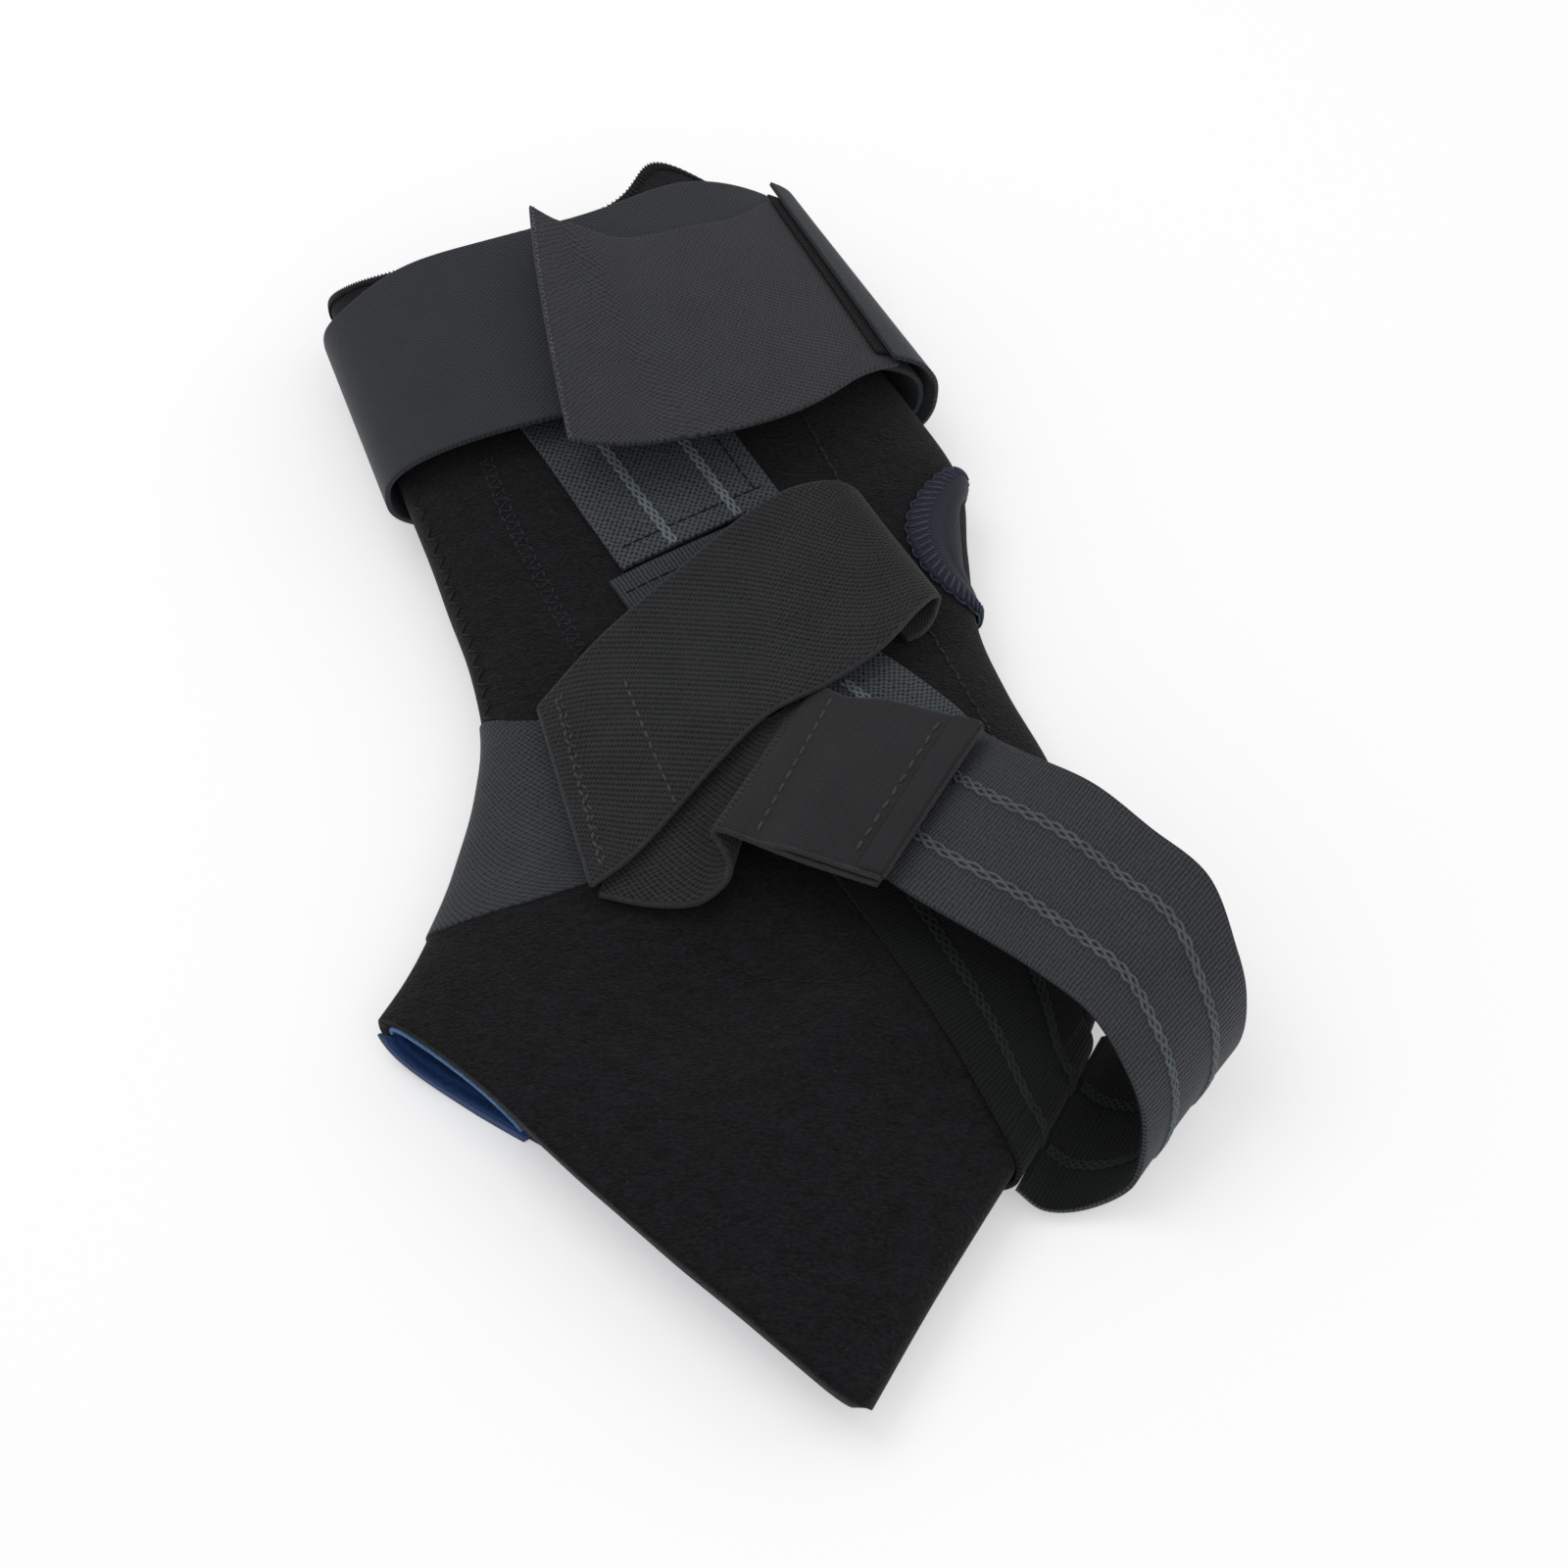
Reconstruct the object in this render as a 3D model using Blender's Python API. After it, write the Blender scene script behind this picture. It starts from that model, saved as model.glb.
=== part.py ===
# Ankle support lying on its side: boot-shaped sleeve, leg band with flap, webbing stirrup and elastic strap.

import math

import bmesh
import bpy
from mathutils import Vector
from mathutils.bvhtree import BVHTree

# Named sizes, in metres.
BRACE_HEIGHT = 0.250        # heel to leg opening; plan positions are shares of it
REST_HEIGHT = 0.030         # height of the resting leg part; heights are shares of it
SLEEVE_WALL = 0.003
LINING_WALL = 0.0008
BAND_WALL = 0.0012
FLAP_WALL = 0.0010
TAPE_WALL = 0.0006
WEBBING_WALL = 0.0010
RIBBON_WALL = 0.0009
ELASTIC_WALL = 0.0013
PATCH_WALL = 0.0014
PANEL_WALL = 0.0010
BINDING_WALL = 0.0009
WEBBING_WIDTH = 0.038
RIBBON_WIDTH = 0.042
BINDING_WIDTH = 0.007
VENT_LENGTH = 0.028
VENT_DEPTH = 0.006
CLEARANCE = 0.0003
SEAT = 0.0005               # rest gap of a piece that lies on the faceted sleeve
VENT_SLOPE = 0.35           # how much further in the vent is cut for each metre lower
TOP_EDGE_RISE = 0.0135      # height of the fold that stands up on the leg opening
REST_SQUASH = 0.0008        # how far the underside is pressed flat

ROUNDNESS = 0.77            # exponent that squares the folded tube's section
FOLD_ANGLE = 54.0           # where round the leg opening that fold stands
FOLD_SPREAD = 15.0
EDGE_SECTIONS = 3.0         # how many sections from an opening still follow its edge
AROUND = 28
ROWS_PER_SECTION = 1.7

# Sections of the sleeve from leg opening to foot opening: plan position of the front fold and of the
# rear fold as shares of BRACE_HEIGHT, then underside and crown as shares of REST_HEIGHT.
SLEEVE_SECTIONS = (
    # front_x, front_y, rear_x, rear_y, base, crown
    (-0.412, 0.524, -0.034, 0.656, 0.08, 0.77),
    (-0.388, 0.448, 0.014, 0.582, 0.08, 0.78),
    (-0.350, 0.348, 0.058, 0.480, 0.08, 0.78),
    (-0.314, 0.252, 0.108, 0.388, 0.08, 0.76),
    (-0.294, 0.200, 0.150, 0.300, 0.06, 0.70),
    (-0.276, 0.148, 0.154, 0.216, 0.06, 0.65),
    (-0.256, 0.092, 0.159, 0.132, 0.05, 0.62),
    (-0.242, 0.036, 0.180, 0.062, 0.02, 0.60),
    (-0.238, 0.000, 0.210, -0.014, 0.00, 0.60),
    (-0.239, -0.032, 0.232, -0.096, 0.00, 0.58),
    (-0.242, -0.064, 0.246, -0.176, 0.00, 0.56),
    (-0.248, -0.100, 0.228, -0.252, 0.00, 0.55),
    (-0.256, -0.140, 0.190, -0.332, 0.00, 0.54),
    (-0.270, -0.188, 0.140, -0.418, 0.00, 0.53),
    (-0.282, -0.220, 0.100, -0.487, 0.00, 0.52),
    (-0.298, -0.251, 0.058, -0.564, 0.00, 0.49),
)

# How far the cut edges reach past the first and the last section, round the tube, as shares of BRACE_HEIGHT.
OPENING_ROWS = (
    # angle, leg_reach, foot_reach
    (0, 0.000, 0.000),
    (30, 0.000, 0.008),
    (60, 0.000, 0.010),
    (90, -0.006, 0.010),
    (120, -0.014, 0.008),
    (150, -0.006, 0.003),
    (180, 0.000, 0.000),
    (210, 0.000, 0.010),
    (240, 0.000, 0.000),
    (270, 0.000, -0.024),
    (300, 0.000, -0.030),
    (330, 0.000, -0.018),
    (360, 0.000, 0.000),
)

# Sections of the band around the leg, far edge to near edge, in the same columns.
BAND_SECTIONS = (
    # front_x, front_y, rear_x, rear_y, base, crown
    (-0.411, 0.470, 0.010, 0.630, 0.00, 0.90),
    (-0.372, 0.362, 0.064, 0.516, 0.00, 0.97),
    (-0.336, 0.262, 0.122, 0.396, 0.00, 1.03),
)

# How far the band's far edge reaches past its first section, as shares of BRACE_HEIGHT.
BAND_EDGE_ROWS = (
    # angle, far_reach
    (0, 0.006),
    (30, 0.019),
    (60, 0.035),
    (90, 0.025),
    (120, 0.026),
    (150, 0.004),
    (180, 0.000),
    (210, 0.000),
    (240, 0.000),
    (270, 0.000),
    (300, 0.000),
    (330, 0.000),
    (360, 0.006),
)

# Dents and soft ridges pressed into the top of the sleeve: place and radius as shares of BRACE_HEIGHT,
# depth as a share of REST_HEIGHT, negative where the cloth stands up.
SLEEVE_DENTS = (
    # x, y, radius, depth
    (-0.040, -0.250, 0.070, 0.05),
    (0.060, -0.270, 0.050, -0.05),
    (0.000, -0.330, 0.050, -0.03),
    (-0.180, 0.140, 0.060, 0.04),
    (0.120, -0.360, 0.060, 0.03),
)

# Strap rows on the sleeve: middle of the row as shares of BRACE_HEIGHT and the way across in degrees.
LEG_WEBBING_ROWS = (
    # x, y, heading
    (-0.158, 0.357, 30.5),
    (-0.112, 0.280, 30.5),
    (-0.066, 0.203, 30.5),
)
END_RIBBON_ROWS = (
    # x, y, heading
    (-0.070, 0.195, 30.5),
    (-0.054, 0.168, 30.5),
    (-0.038, 0.141, 30.5),
)

# Ribbons by their two edges: plan shares of BRACE_HEIGHT, then each edge's height above the sleeve as a
# share of REST_HEIGHT.
STIRRUP_ROWS = (
    # right_x, right_y, left_x, left_y, right_lift, left_lift
    (0.104, 0.038, -0.026, -0.040, 0.0, 0.0),
    (0.146, -0.036, 0.014, -0.108, 0.0, 0.0),
    (0.176, -0.096, 0.051, -0.169, 0.0, 0.0),
    (0.202, -0.158, 0.086, -0.229, 0.0, 0.0),
    (0.215, -0.212, 0.122, -0.294, 0.0, 0.0),
    (0.215, -0.262, 0.157, -0.368, 0.02, 0.02),
)
ELASTIC_ROWS = (
    # far_x, far_y, near_x, near_y, far_lift, near_lift
    (-0.191, 0.017, -0.142, -0.163, 0.08, 0.14),
    (-0.158, 0.064, -0.116, -0.140, 0.10, 0.15),
    (-0.125, 0.103, -0.088, -0.104, 0.13, 0.16),
    (-0.079, 0.154, -0.052, -0.055, 0.14, 0.18),
    (-0.036, 0.199, -0.012, -0.008, 0.16, 0.20),
    (0.000, 0.228, 0.034, 0.023, 0.18, 0.21),
    (0.032, 0.238, 0.075, 0.060, 0.20, 0.22),
    (0.050, 0.235, 0.107, 0.106, 0.21, 0.23),
    (0.061, 0.226, 0.121, 0.125, 0.17, 0.19),
    (0.053, 0.221, 0.114, 0.121, 0.12, 0.14),
    (0.022, 0.212, 0.088, 0.118, 0.11, 0.12),
    (-0.010, 0.188, 0.058, 0.096, 0.11, 0.11),
)

# Ribbons that stand clear: both edges with heights above the floor as shares of REST_HEIGHT.
LOOP_ROWS = (
    # far_x, far_y, far_z, near_x, near_y, near_z
    (0.072, 0.076, 0.62, -0.028, -0.020, 0.62),
    (0.100, 0.048, 0.64, -0.004, -0.050, 0.63),
    (0.132, 0.008, 0.70, 0.032, -0.100, 0.67),
    (0.154, -0.034, 0.82, 0.054, -0.146, 0.79),
    (0.184, -0.072, 0.98, 0.084, -0.190, 0.90),
    (0.228, -0.112, 1.10, 0.140, -0.236, 0.93),
    (0.266, -0.157, 1.13, 0.178, -0.271, 0.97),
    (0.304, -0.199, 1.11, 0.215, -0.305, 0.93),
    (0.321, -0.247, 0.93, 0.238, -0.340, 0.78),
    (0.328, -0.269, 0.70, 0.249, -0.360, 0.58),
    (0.325, -0.283, 0.43, 0.249, -0.378, 0.39),
    (0.305, -0.289, 0.21, 0.240, -0.391, 0.21),
    (0.277, -0.280, 0.11, 0.212, -0.399, 0.10),
    (0.252, -0.270, 0.12, 0.184, -0.400, 0.09),
    (0.234, -0.264, 0.24, 0.164, -0.392, 0.20),
)
TAIL_ROWS = (
    # far_x, far_y, far_z, near_x, near_y, near_z
    (-0.104, -0.036, 0.65, -0.137, -0.164, 0.57),
    (-0.062, -0.042, 0.67, -0.100, -0.174, 0.58),
    (-0.034, -0.040, 0.70, -0.066, -0.175, 0.60),
    (-0.020, -0.034, 0.72, -0.046, -0.163, 0.65),
    (-0.012, -0.028, 0.73, -0.040, -0.154, 0.71),
    (-0.005, -0.020, 0.74, -0.042, -0.147, 0.78),
    (0.001, -0.012, 0.75, -0.048, -0.141, 0.85),
    (0.006, -0.006, 0.76, -0.052, -0.137, 0.90),
    (0.014, 0.000, 0.77, -0.047, -0.137, 0.93),
    (0.030, 0.006, 0.79, -0.028, -0.147, 0.95),
    (0.082, -0.010, 0.83, 0.010, -0.168, 0.97),
    (0.148, -0.043, 0.93, 0.068, -0.193, 0.98),
)
PATCH_ROWS = (
    # far_x, far_y, far_z, near_x, near_y, near_z
    (0.034, 0.005, 0.83, -0.034, -0.144, 0.985),
    (0.084, -0.010, 0.87, 0.012, -0.167, 1.005),
    (0.150, -0.043, 0.97, 0.070, -0.193, 1.020),
)

# Patches on the band, by the angle round its section in degrees and by how far down the band they run,
# 0 at the far edge and 1 at the near edge. Lifts are shares of REST_HEIGHT.
FLAP_ROWS = (
    # far_angle, near_angle, far_run, near_run, far_lift, near_lift
    (92.5, 106, 0.05, 1.23, 0.27, 0.15),
    (89, 101, 0.16, 1.26, 0.16, 0.10),
    (84, 94, 0.23, 1.28, 0.07, 0.06),
    (77, 85, 0.25, 1.27, 0.03, 0.04),
    (67, 74, 0.26, 1.22, 0.02, 0.03),
    (57, 63, 0.26, 1.15, 0.02, 0.02),
    (47, 52, 0.21, 1.08, 0.02, 0.02),
    (38, 42, 0.14, 1.04, 0.02, 0.02),
    (29, 32, 0.08, 1.01, 0.02, 0.02),
)
TAPE_ROWS = (
    # far_angle, near_angle, far_run, near_run, far_lift, near_lift
    (34, 42, 0.08, 0.98, 0.067, 0.067),
    (26, 32, 0.08, 0.98, 0.067, 0.067),
)
TAB_ROWS = (
    # far_angle, near_angle, far_run, near_run, far_lift, near_lift
    (31, 39, 0.02, 1.02, 0.100, 0.100),
    (22, 29, 0.02, 1.03, 0.100, 0.100),
    (12, 18, 0.02, 1.03, 0.070, 0.075),
    (2, 6, 0.02, 1.03, 0.050, 0.055),
    (-8, -6, 0.02, 1.03, 0.040, 0.040),
    (-22, -22, 0.02, 1.03, 0.040, 0.040),
)

# The instep panel on the sleeve, by angle round the section and by section number.
PANEL_ROWS = (
    # angle, top_section, bottom_section
    (200, 7.4, 12.6),
    (180, 7.2, 12.8),
    (160, 7.3, 12.7),
    (145, 7.5, 12.4),
    (130, 7.6, 11.9),
    (118, 7.7, 11.3),
)

# Section number at the middle of the vent in the rear fold.
VENT_SECTION = 4.9

COLORS = {
    "sleeve": (0.010, 0.010, 0.012),
    "lining": (0.010, 0.040, 0.160),
    "vent_binding": (0.017, 0.018, 0.028),
    "instep_panel": (0.050, 0.055, 0.062),
    "top_band": (0.030, 0.033, 0.036),
    "band_flap": (0.026, 0.027, 0.029),
    "hook_tape": (0.012, 0.012, 0.013),
    "band_tab": (0.028, 0.030, 0.033),
    "leg_webbing": (0.060, 0.070, 0.076),
    "end_ribbon": (0.045, 0.050, 0.055),
    "stirrup_webbing": (0.022, 0.024, 0.026),
    "loop_webbing": (0.040, 0.043, 0.048),
    "elastic_strap": (0.022, 0.023, 0.024),
    "elastic_tail": (0.022, 0.023, 0.024),
    "elastic_patch": (0.024, 0.024, 0.026),
}


def clear_scene():
    for item in list(bpy.data.objects):
        bpy.data.objects.remove(item, do_unlink=True)


def smooth_row(table, place):
    """Row of a table at a fractional place, on a smooth curve through the rows."""
    last = len(table) - 1
    index = min(max(int(math.floor(place)), 0), last - 1)
    t = place - index
    if t < 0.0 or t > 1.0:
        return [p + (q - p) * t for p, q in zip(table[index], table[index + 1])]
    before = table[max(index - 1, 0)]
    after = table[min(index + 2, last)]
    row = []
    for a, p, q, b in zip(before, table[index], table[index + 1], after):
        start = (q - a) * 0.5 if index else q - p
        end = (b - p) * 0.5 if index + 2 <= last else q - p
        row.append(
            p * (2 * t ** 3 - 3 * t ** 2 + 1)
            + start * (t ** 3 - 2 * t ** 2 + t)
            + q * (3 * t ** 2 - 2 * t ** 3)
            + end * (t ** 3 - t ** 2)
        )
    return row


def dent_depth(x, y):
    depth = 0.0
    for dent_x, dent_y, radius, share in SLEEVE_DENTS:
        gap = math.hypot(x - dent_x * BRACE_HEIGHT, y - dent_y * BRACE_HEIGHT) / (radius * BRACE_HEIGHT)
        depth += share * REST_HEIGHT * math.exp(-gap * gap)
    return depth


def section_point(table, place, angle, out, dented=False):
    """Point on a flattened tube, `out` metres outside its surface."""
    front_x, front_y, rear_x, rear_y, base, crown = smooth_row(table, place)
    base = max(base, 0.0)
    front = Vector((front_x, front_y, 0.0)) * BRACE_HEIGHT
    rear = Vector((rear_x, rear_y, 0.0)) * BRACE_HEIGHT
    half_width = (rear - front).length / 2 + out
    half_height = (crown - base) * REST_HEIGHT / 2 + out
    across = (rear - front).normalized()
    turn = math.radians(angle)
    side = math.copysign(abs(math.cos(turn)) ** ROUNDNESS, math.cos(turn)) * half_width
    rise = math.copysign(abs(math.sin(turn)) ** ROUNDNESS, math.sin(turn)) * half_height
    point = (front + rear) / 2 + across * side
    point.z = max((crown + base) * REST_HEIGHT / 2 + rise - REST_SQUASH, base * REST_HEIGHT - out)
    if dented and rise > 0:
        point.z -= dent_depth(point.x, point.y) * rise / half_height
    return point


def around_row(table, angle):
    """Values of a table whose rows stand at even angles round the tube, the angle itself left out."""
    step = table[1][0] - table[0][0]
    return smooth_row(table, angle % 360.0 / step)[1:]


def edge_place(place, angle):
    """Section number moved so that both openings follow their cut edges, with the fold on the leg opening."""
    last = len(SLEEVE_SECTIONS) - 1
    leg_reach, foot_reach = around_row(OPENING_ROWS, angle)
    if place < EDGE_SECTIONS:
        swing = (angle - FOLD_ANGLE) / FOLD_SPREAD
        reach = leg_reach * BRACE_HEIGHT + TOP_EDGE_RISE * math.exp(-swing * swing)
        return place - reach / section_pitch(SLEEVE_SECTIONS, 0) * (1.0 - place / EDGE_SECTIONS)
    if place > last - EDGE_SECTIONS:
        reach = foot_reach * BRACE_HEIGHT
        return place + reach / section_pitch(SLEEVE_SECTIONS, last - 1) * (1.0 - (last - place) / EDGE_SECTIONS)
    return place


def section_pitch(table, index):
    """Distance between the middles of two neighbouring sections."""
    (ax, ay, bx, by), (cx, cy, dx, dy) = table[index][:4], table[index + 1][:4]
    return math.hypot((cx + dx - ax - bx) / 2, (cy + dy - ay - by) / 2) * BRACE_HEIGHT


def sleeve_point(place, angle, out):
    return section_point(SLEEVE_SECTIONS, edge_place(place, angle), angle, out, dented=True)


def band_point(run, angle, out):
    """Point on the band, whose far edge reaches out as its table says."""
    last = len(BAND_SECTIONS) - 1
    length = sum(section_pitch(BAND_SECTIONS, index) for index in range(last))
    reach = around_row(BAND_EDGE_ROWS, angle)[0] * BRACE_HEIGHT
    return section_point(BAND_SECTIONS, (run - reach / length * (1.0 - run)) * last, angle, out)


def finish_mesh(name, bm):
    bmesh.ops.recalc_face_normals(bm, faces=bm.faces)
    if bm.calc_volume(signed=True) < 0:
        bmesh.ops.reverse_faces(bm, faces=bm.faces)
    mesh = bpy.data.meshes.new(name)
    bm.to_mesh(mesh)
    bm.free()
    mesh.shade_smooth()
    mesh.set_sharp_from_angle(angle=math.radians(40))
    return mesh


def add_piece(name, mesh, collection):
    material = bpy.data.materials.new(name)
    material.use_nodes = True
    shader = material.node_tree.nodes["Principled BSDF"]
    shader.inputs["Base Color"].default_value = (*COLORS[name], 1.0)
    shader.inputs["Roughness"].default_value = 0.9
    shader.inputs["Metallic"].default_value = 0.0
    mesh.materials.append(material)
    piece = bpy.data.objects.new(name, mesh)
    collection.objects.link(piece)
    return piece


def tube(name, point_at, places, outer, inner, collection):
    """Hollow tube open at both ends, lofted through its sections."""
    bm = bmesh.new()
    rings = []
    for out in (outer, inner):
        layer = []
        for place in places:
            angles = [360.0 * step / AROUND for step in range(AROUND)]
            layer.append([bm.verts.new(point_at(place, angle, out)) for angle in angles])
        rings.append(layer)
    for layer in rings:
        for low, high in zip(layer, layer[1:]):
            for step in range(AROUND):
                after = (step + 1) % AROUND
                bm.faces.new((low[step], low[after], high[after], high[step]))
    for end in (0, -1):
        for step in range(AROUND):
            after = (step + 1) % AROUND
            bm.faces.new((rings[0][end][step], rings[0][end][after], rings[1][end][after], rings[1][end][step]))
    return add_piece(name, finish_mesh(name, bm), collection)


def plate(name, grid, low, high, collection):
    """Closed sheet whose faces lie `low` and `high` metres along the grid's normals."""
    rows, columns = len(grid), len(grid[0])
    bm = bmesh.new()
    layers = []
    for out in (low, high):
        layer = []
        for i in range(rows):
            line = []
            for j in range(columns):
                along = grid[min(i + 1, rows - 1)][j] - grid[max(i - 1, 0)][j]
                across = grid[i][min(j + 1, columns - 1)] - grid[i][max(j - 1, 0)]
                normal = across.cross(along).normalized()
                line.append(bm.verts.new(grid[i][j] + normal * out))
            layer.append(line)
        layers.append(layer)
    for layer in layers:
        for i in range(rows - 1):
            for j in range(columns - 1):
                bm.faces.new((layer[i][j], layer[i][j + 1], layer[i + 1][j + 1], layer[i + 1][j]))
    rim = [(0, j) for j in range(columns)] + [(i, columns - 1) for i in range(1, rows)]
    rim += [(rows - 1, j) for j in range(columns - 2, -1, -1)] + [(i, 0) for i in range(rows - 2, 0, -1)]
    for (i, j), (k, m) in zip(rim, rim[1:] + rim[:1]):
        bm.faces.new((layers[0][i][j], layers[0][k][m], layers[1][k][m], layers[1][i][j]))
    return add_piece(name, finish_mesh(name, bm), collection)


def spaced(count, end):
    return [end * step / count for step in range(count + 1)]


def ground(tree, x, y):
    """Height of the sleeve's top under a plan position, or the floor."""
    hit = tree.ray_cast(Vector((x, y, 1.0)), Vector((0.0, 0.0, -1.0)))
    return hit[0].z if hit[0] else 0.0


def centred_rows(table, width):
    """Edge rows of a strap of one width from its middle line."""
    rows = []
    for x, y, heading in table:
        half = Vector((math.cos(math.radians(heading)), math.sin(math.radians(heading)))) * width / 2
        rows.append((
            x + half.x / BRACE_HEIGHT, y + half.y / BRACE_HEIGHT,
            x - half.x / BRACE_HEIGHT, y - half.y / BRACE_HEIGHT, 0.0, 0.0,
        ))
    return rows


def draped_grid(table, tree, seat, per_row=2, columns=8):
    """Strap grid lying on the sleeve."""
    grid = []
    for place in spaced((len(table) - 1) * per_row, len(table) - 1):
        ax, ay, bx, by, a_lift, b_lift = smooth_row(table, place)
        line = []
        for share in spaced(columns, 1.0):
            x = (ax + (bx - ax) * share) * BRACE_HEIGHT
            y = (ay + (by - ay) * share) * BRACE_HEIGHT
            lift = (a_lift + (b_lift - a_lift) * share) * REST_HEIGHT
            line.append(Vector((x, y, ground(tree, x, y) + seat + lift)))
        grid.append(line)
    return grid


def free_grid(table, tree=None, seat=0.0, per_row=2, columns=4):
    """Strap grid that stands clear, kept above the sleeve where a tree is given."""
    grid = []
    for place in spaced((len(table) - 1) * per_row, len(table) - 1):
        row = smooth_row(table, place)
        far = Vector((row[0] * BRACE_HEIGHT, row[1] * BRACE_HEIGHT, row[2] * REST_HEIGHT))
        near = Vector((row[3] * BRACE_HEIGHT, row[4] * BRACE_HEIGHT, row[5] * REST_HEIGHT))
        line = [far.lerp(near, share) for share in spaced(columns, 1.0)]
        if tree and place < 3:
            for point in line:
                point.z = max(point.z, ground(tree, point.x, point.y) + seat)
        grid.append(line)
    return grid


def band_grid(table, per_row=2, columns=6):
    grid = []
    for place in spaced((len(table) - 1) * per_row, len(table) - 1):
        far_angle, near_angle, far_run, near_run, far_lift, near_lift = smooth_row(table, place)
        line = []
        for share in spaced(columns, 1.0):
            angle = far_angle + (near_angle - far_angle) * share
            run = far_run + (near_run - far_run) * share
            lift = (far_lift + (near_lift - far_lift) * share) * REST_HEIGHT
            line.append(band_point(run, angle, lift))
        grid.append(line)
    return grid


def panel_grid(table, per_row=3, columns=10):
    grid = []
    for place in spaced((len(table) - 1) * per_row, len(table) - 1):
        angle, top, bottom = smooth_row(table, place)
        grid.append([sleeve_point(top + (bottom - top) * share, angle, SEAT) for share in spaced(columns, 1.0)])
    return grid


def build_vent_cutter(collection):
    """Upright oval post that bites the vent out of the rear fold."""
    edge = sleeve_point(VENT_SECTION, 0.0, 0.0)
    after = sleeve_point(VENT_SECTION + 0.5, 0.0, 0.0)
    before = sleeve_point(VENT_SECTION - 0.5, 0.0, 0.0)
    along = (after - before).normalized()
    outward = Vector((-along.y, along.x, 0.0)).normalized()
    radius_out = 2 * VENT_DEPTH
    radius_along = VENT_LENGTH / math.sqrt(3.0)
    top = sleeve_point(VENT_SECTION, 90.0, 0.0).z
    bm = bmesh.new()
    bmesh.ops.create_cone(bm, cap_ends=True, segments=40, radius1=1.0, radius2=1.0, depth=0.2)
    for vert in bm.verts:
        x = vert.co.x * radius_out + VENT_DEPTH - VENT_SLOPE * (top - vert.co.z)
        y = vert.co.y * radius_along
        vert.co.x = edge.x + outward.x * x + along.x * y
        vert.co.y = edge.y + outward.y * x + along.y * y
    cutter = bpy.data.objects.new("vent_cutter", finish_mesh("vent_cutter", bm))
    cutter.hide_render = True
    cutter.display_type = "WIRE"
    collection.objects.link(cutter)
    return cutter


def cut(piece, cutter):
    modifier = piece.modifiers.new("vent", "BOOLEAN")
    modifier.operation = "DIFFERENCE"
    modifier.solver = "EXACT"
    modifier.object = cutter


def build_binding(collection):
    """Strip round the vent, lying on the outside of the sleeve."""
    count = 36
    pitch = (sleeve_point(VENT_SECTION + 0.5, 0.0, 0.0) - sleeve_point(VENT_SECTION - 0.5, 0.0, 0.0)).length
    half_width = (sleeve_point(VENT_SECTION, 0.0, 0.0) - sleeve_point(VENT_SECTION, 180.0, 0.0)).length / 2
    fold, top = sleeve_point(VENT_SECTION, 0.0, 0.0).z, sleeve_point(VENT_SECTION, 90.0, 0.0).z
    inset = (VENT_DEPTH - VENT_SLOPE * (top - fold)) / (2 * VENT_DEPTH)
    half_length = VENT_LENGTH / math.sqrt(3.0) * math.sqrt(1.0 - inset * inset) + CLEARANCE
    bm = bmesh.new()
    loops = []
    for step in range(count):
        turn = math.radians(360.0 * step / count)
        depth = VENT_DEPTH + CLEARANCE + VENT_SLOPE * (top - fold) * (1.0 - math.sin(turn))
        line = []
        for share, out in ((0.0, SEAT), (0.5, SEAT), (1.0, SEAT),
                           (1.0, SEAT + BINDING_WALL), (0.5, SEAT + BINDING_WALL), (0.0, SEAT + BINDING_WALL)):
            place = VENT_SECTION + (half_length + BINDING_WIDTH * share) / pitch * math.cos(turn)
            side = 1.0 - (depth + BINDING_WIDTH * share) / half_width
            angle = math.degrees(math.acos(side ** (1.0 / ROUNDNESS))) * math.sin(turn)
            line.append(bm.verts.new(sleeve_point(place, angle, out)))
        loops.append(line)
    for step in range(count):
        here, there = loops[step], loops[(step + 1) % count]
        for k in range(len(here)):
            m = (k + 1) % len(here)
            bm.faces.new((here[k], here[m], there[m], there[k]))
    return add_piece("vent_binding", finish_mesh("vent_binding", bm), collection)


def stand_on_origin(brace, cutters):
    """Put the middle of the whole object's footprint over the origin, its lowest point on the floor."""
    bpy.context.view_layer.update()
    corners = [Vector(corner) for piece in brace.objects for corner in piece.bound_box]
    low = Vector([min(corner[axis] for corner in corners) for axis in range(3)])
    high = Vector([max(corner[axis] for corner in corners) for axis in range(3)])
    shift = Vector((-(low.x + high.x) / 2, -(low.y + high.y) / 2, -low.z))
    for piece in list(brace.objects) + list(cutters.objects):
        piece.location = shift


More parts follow.
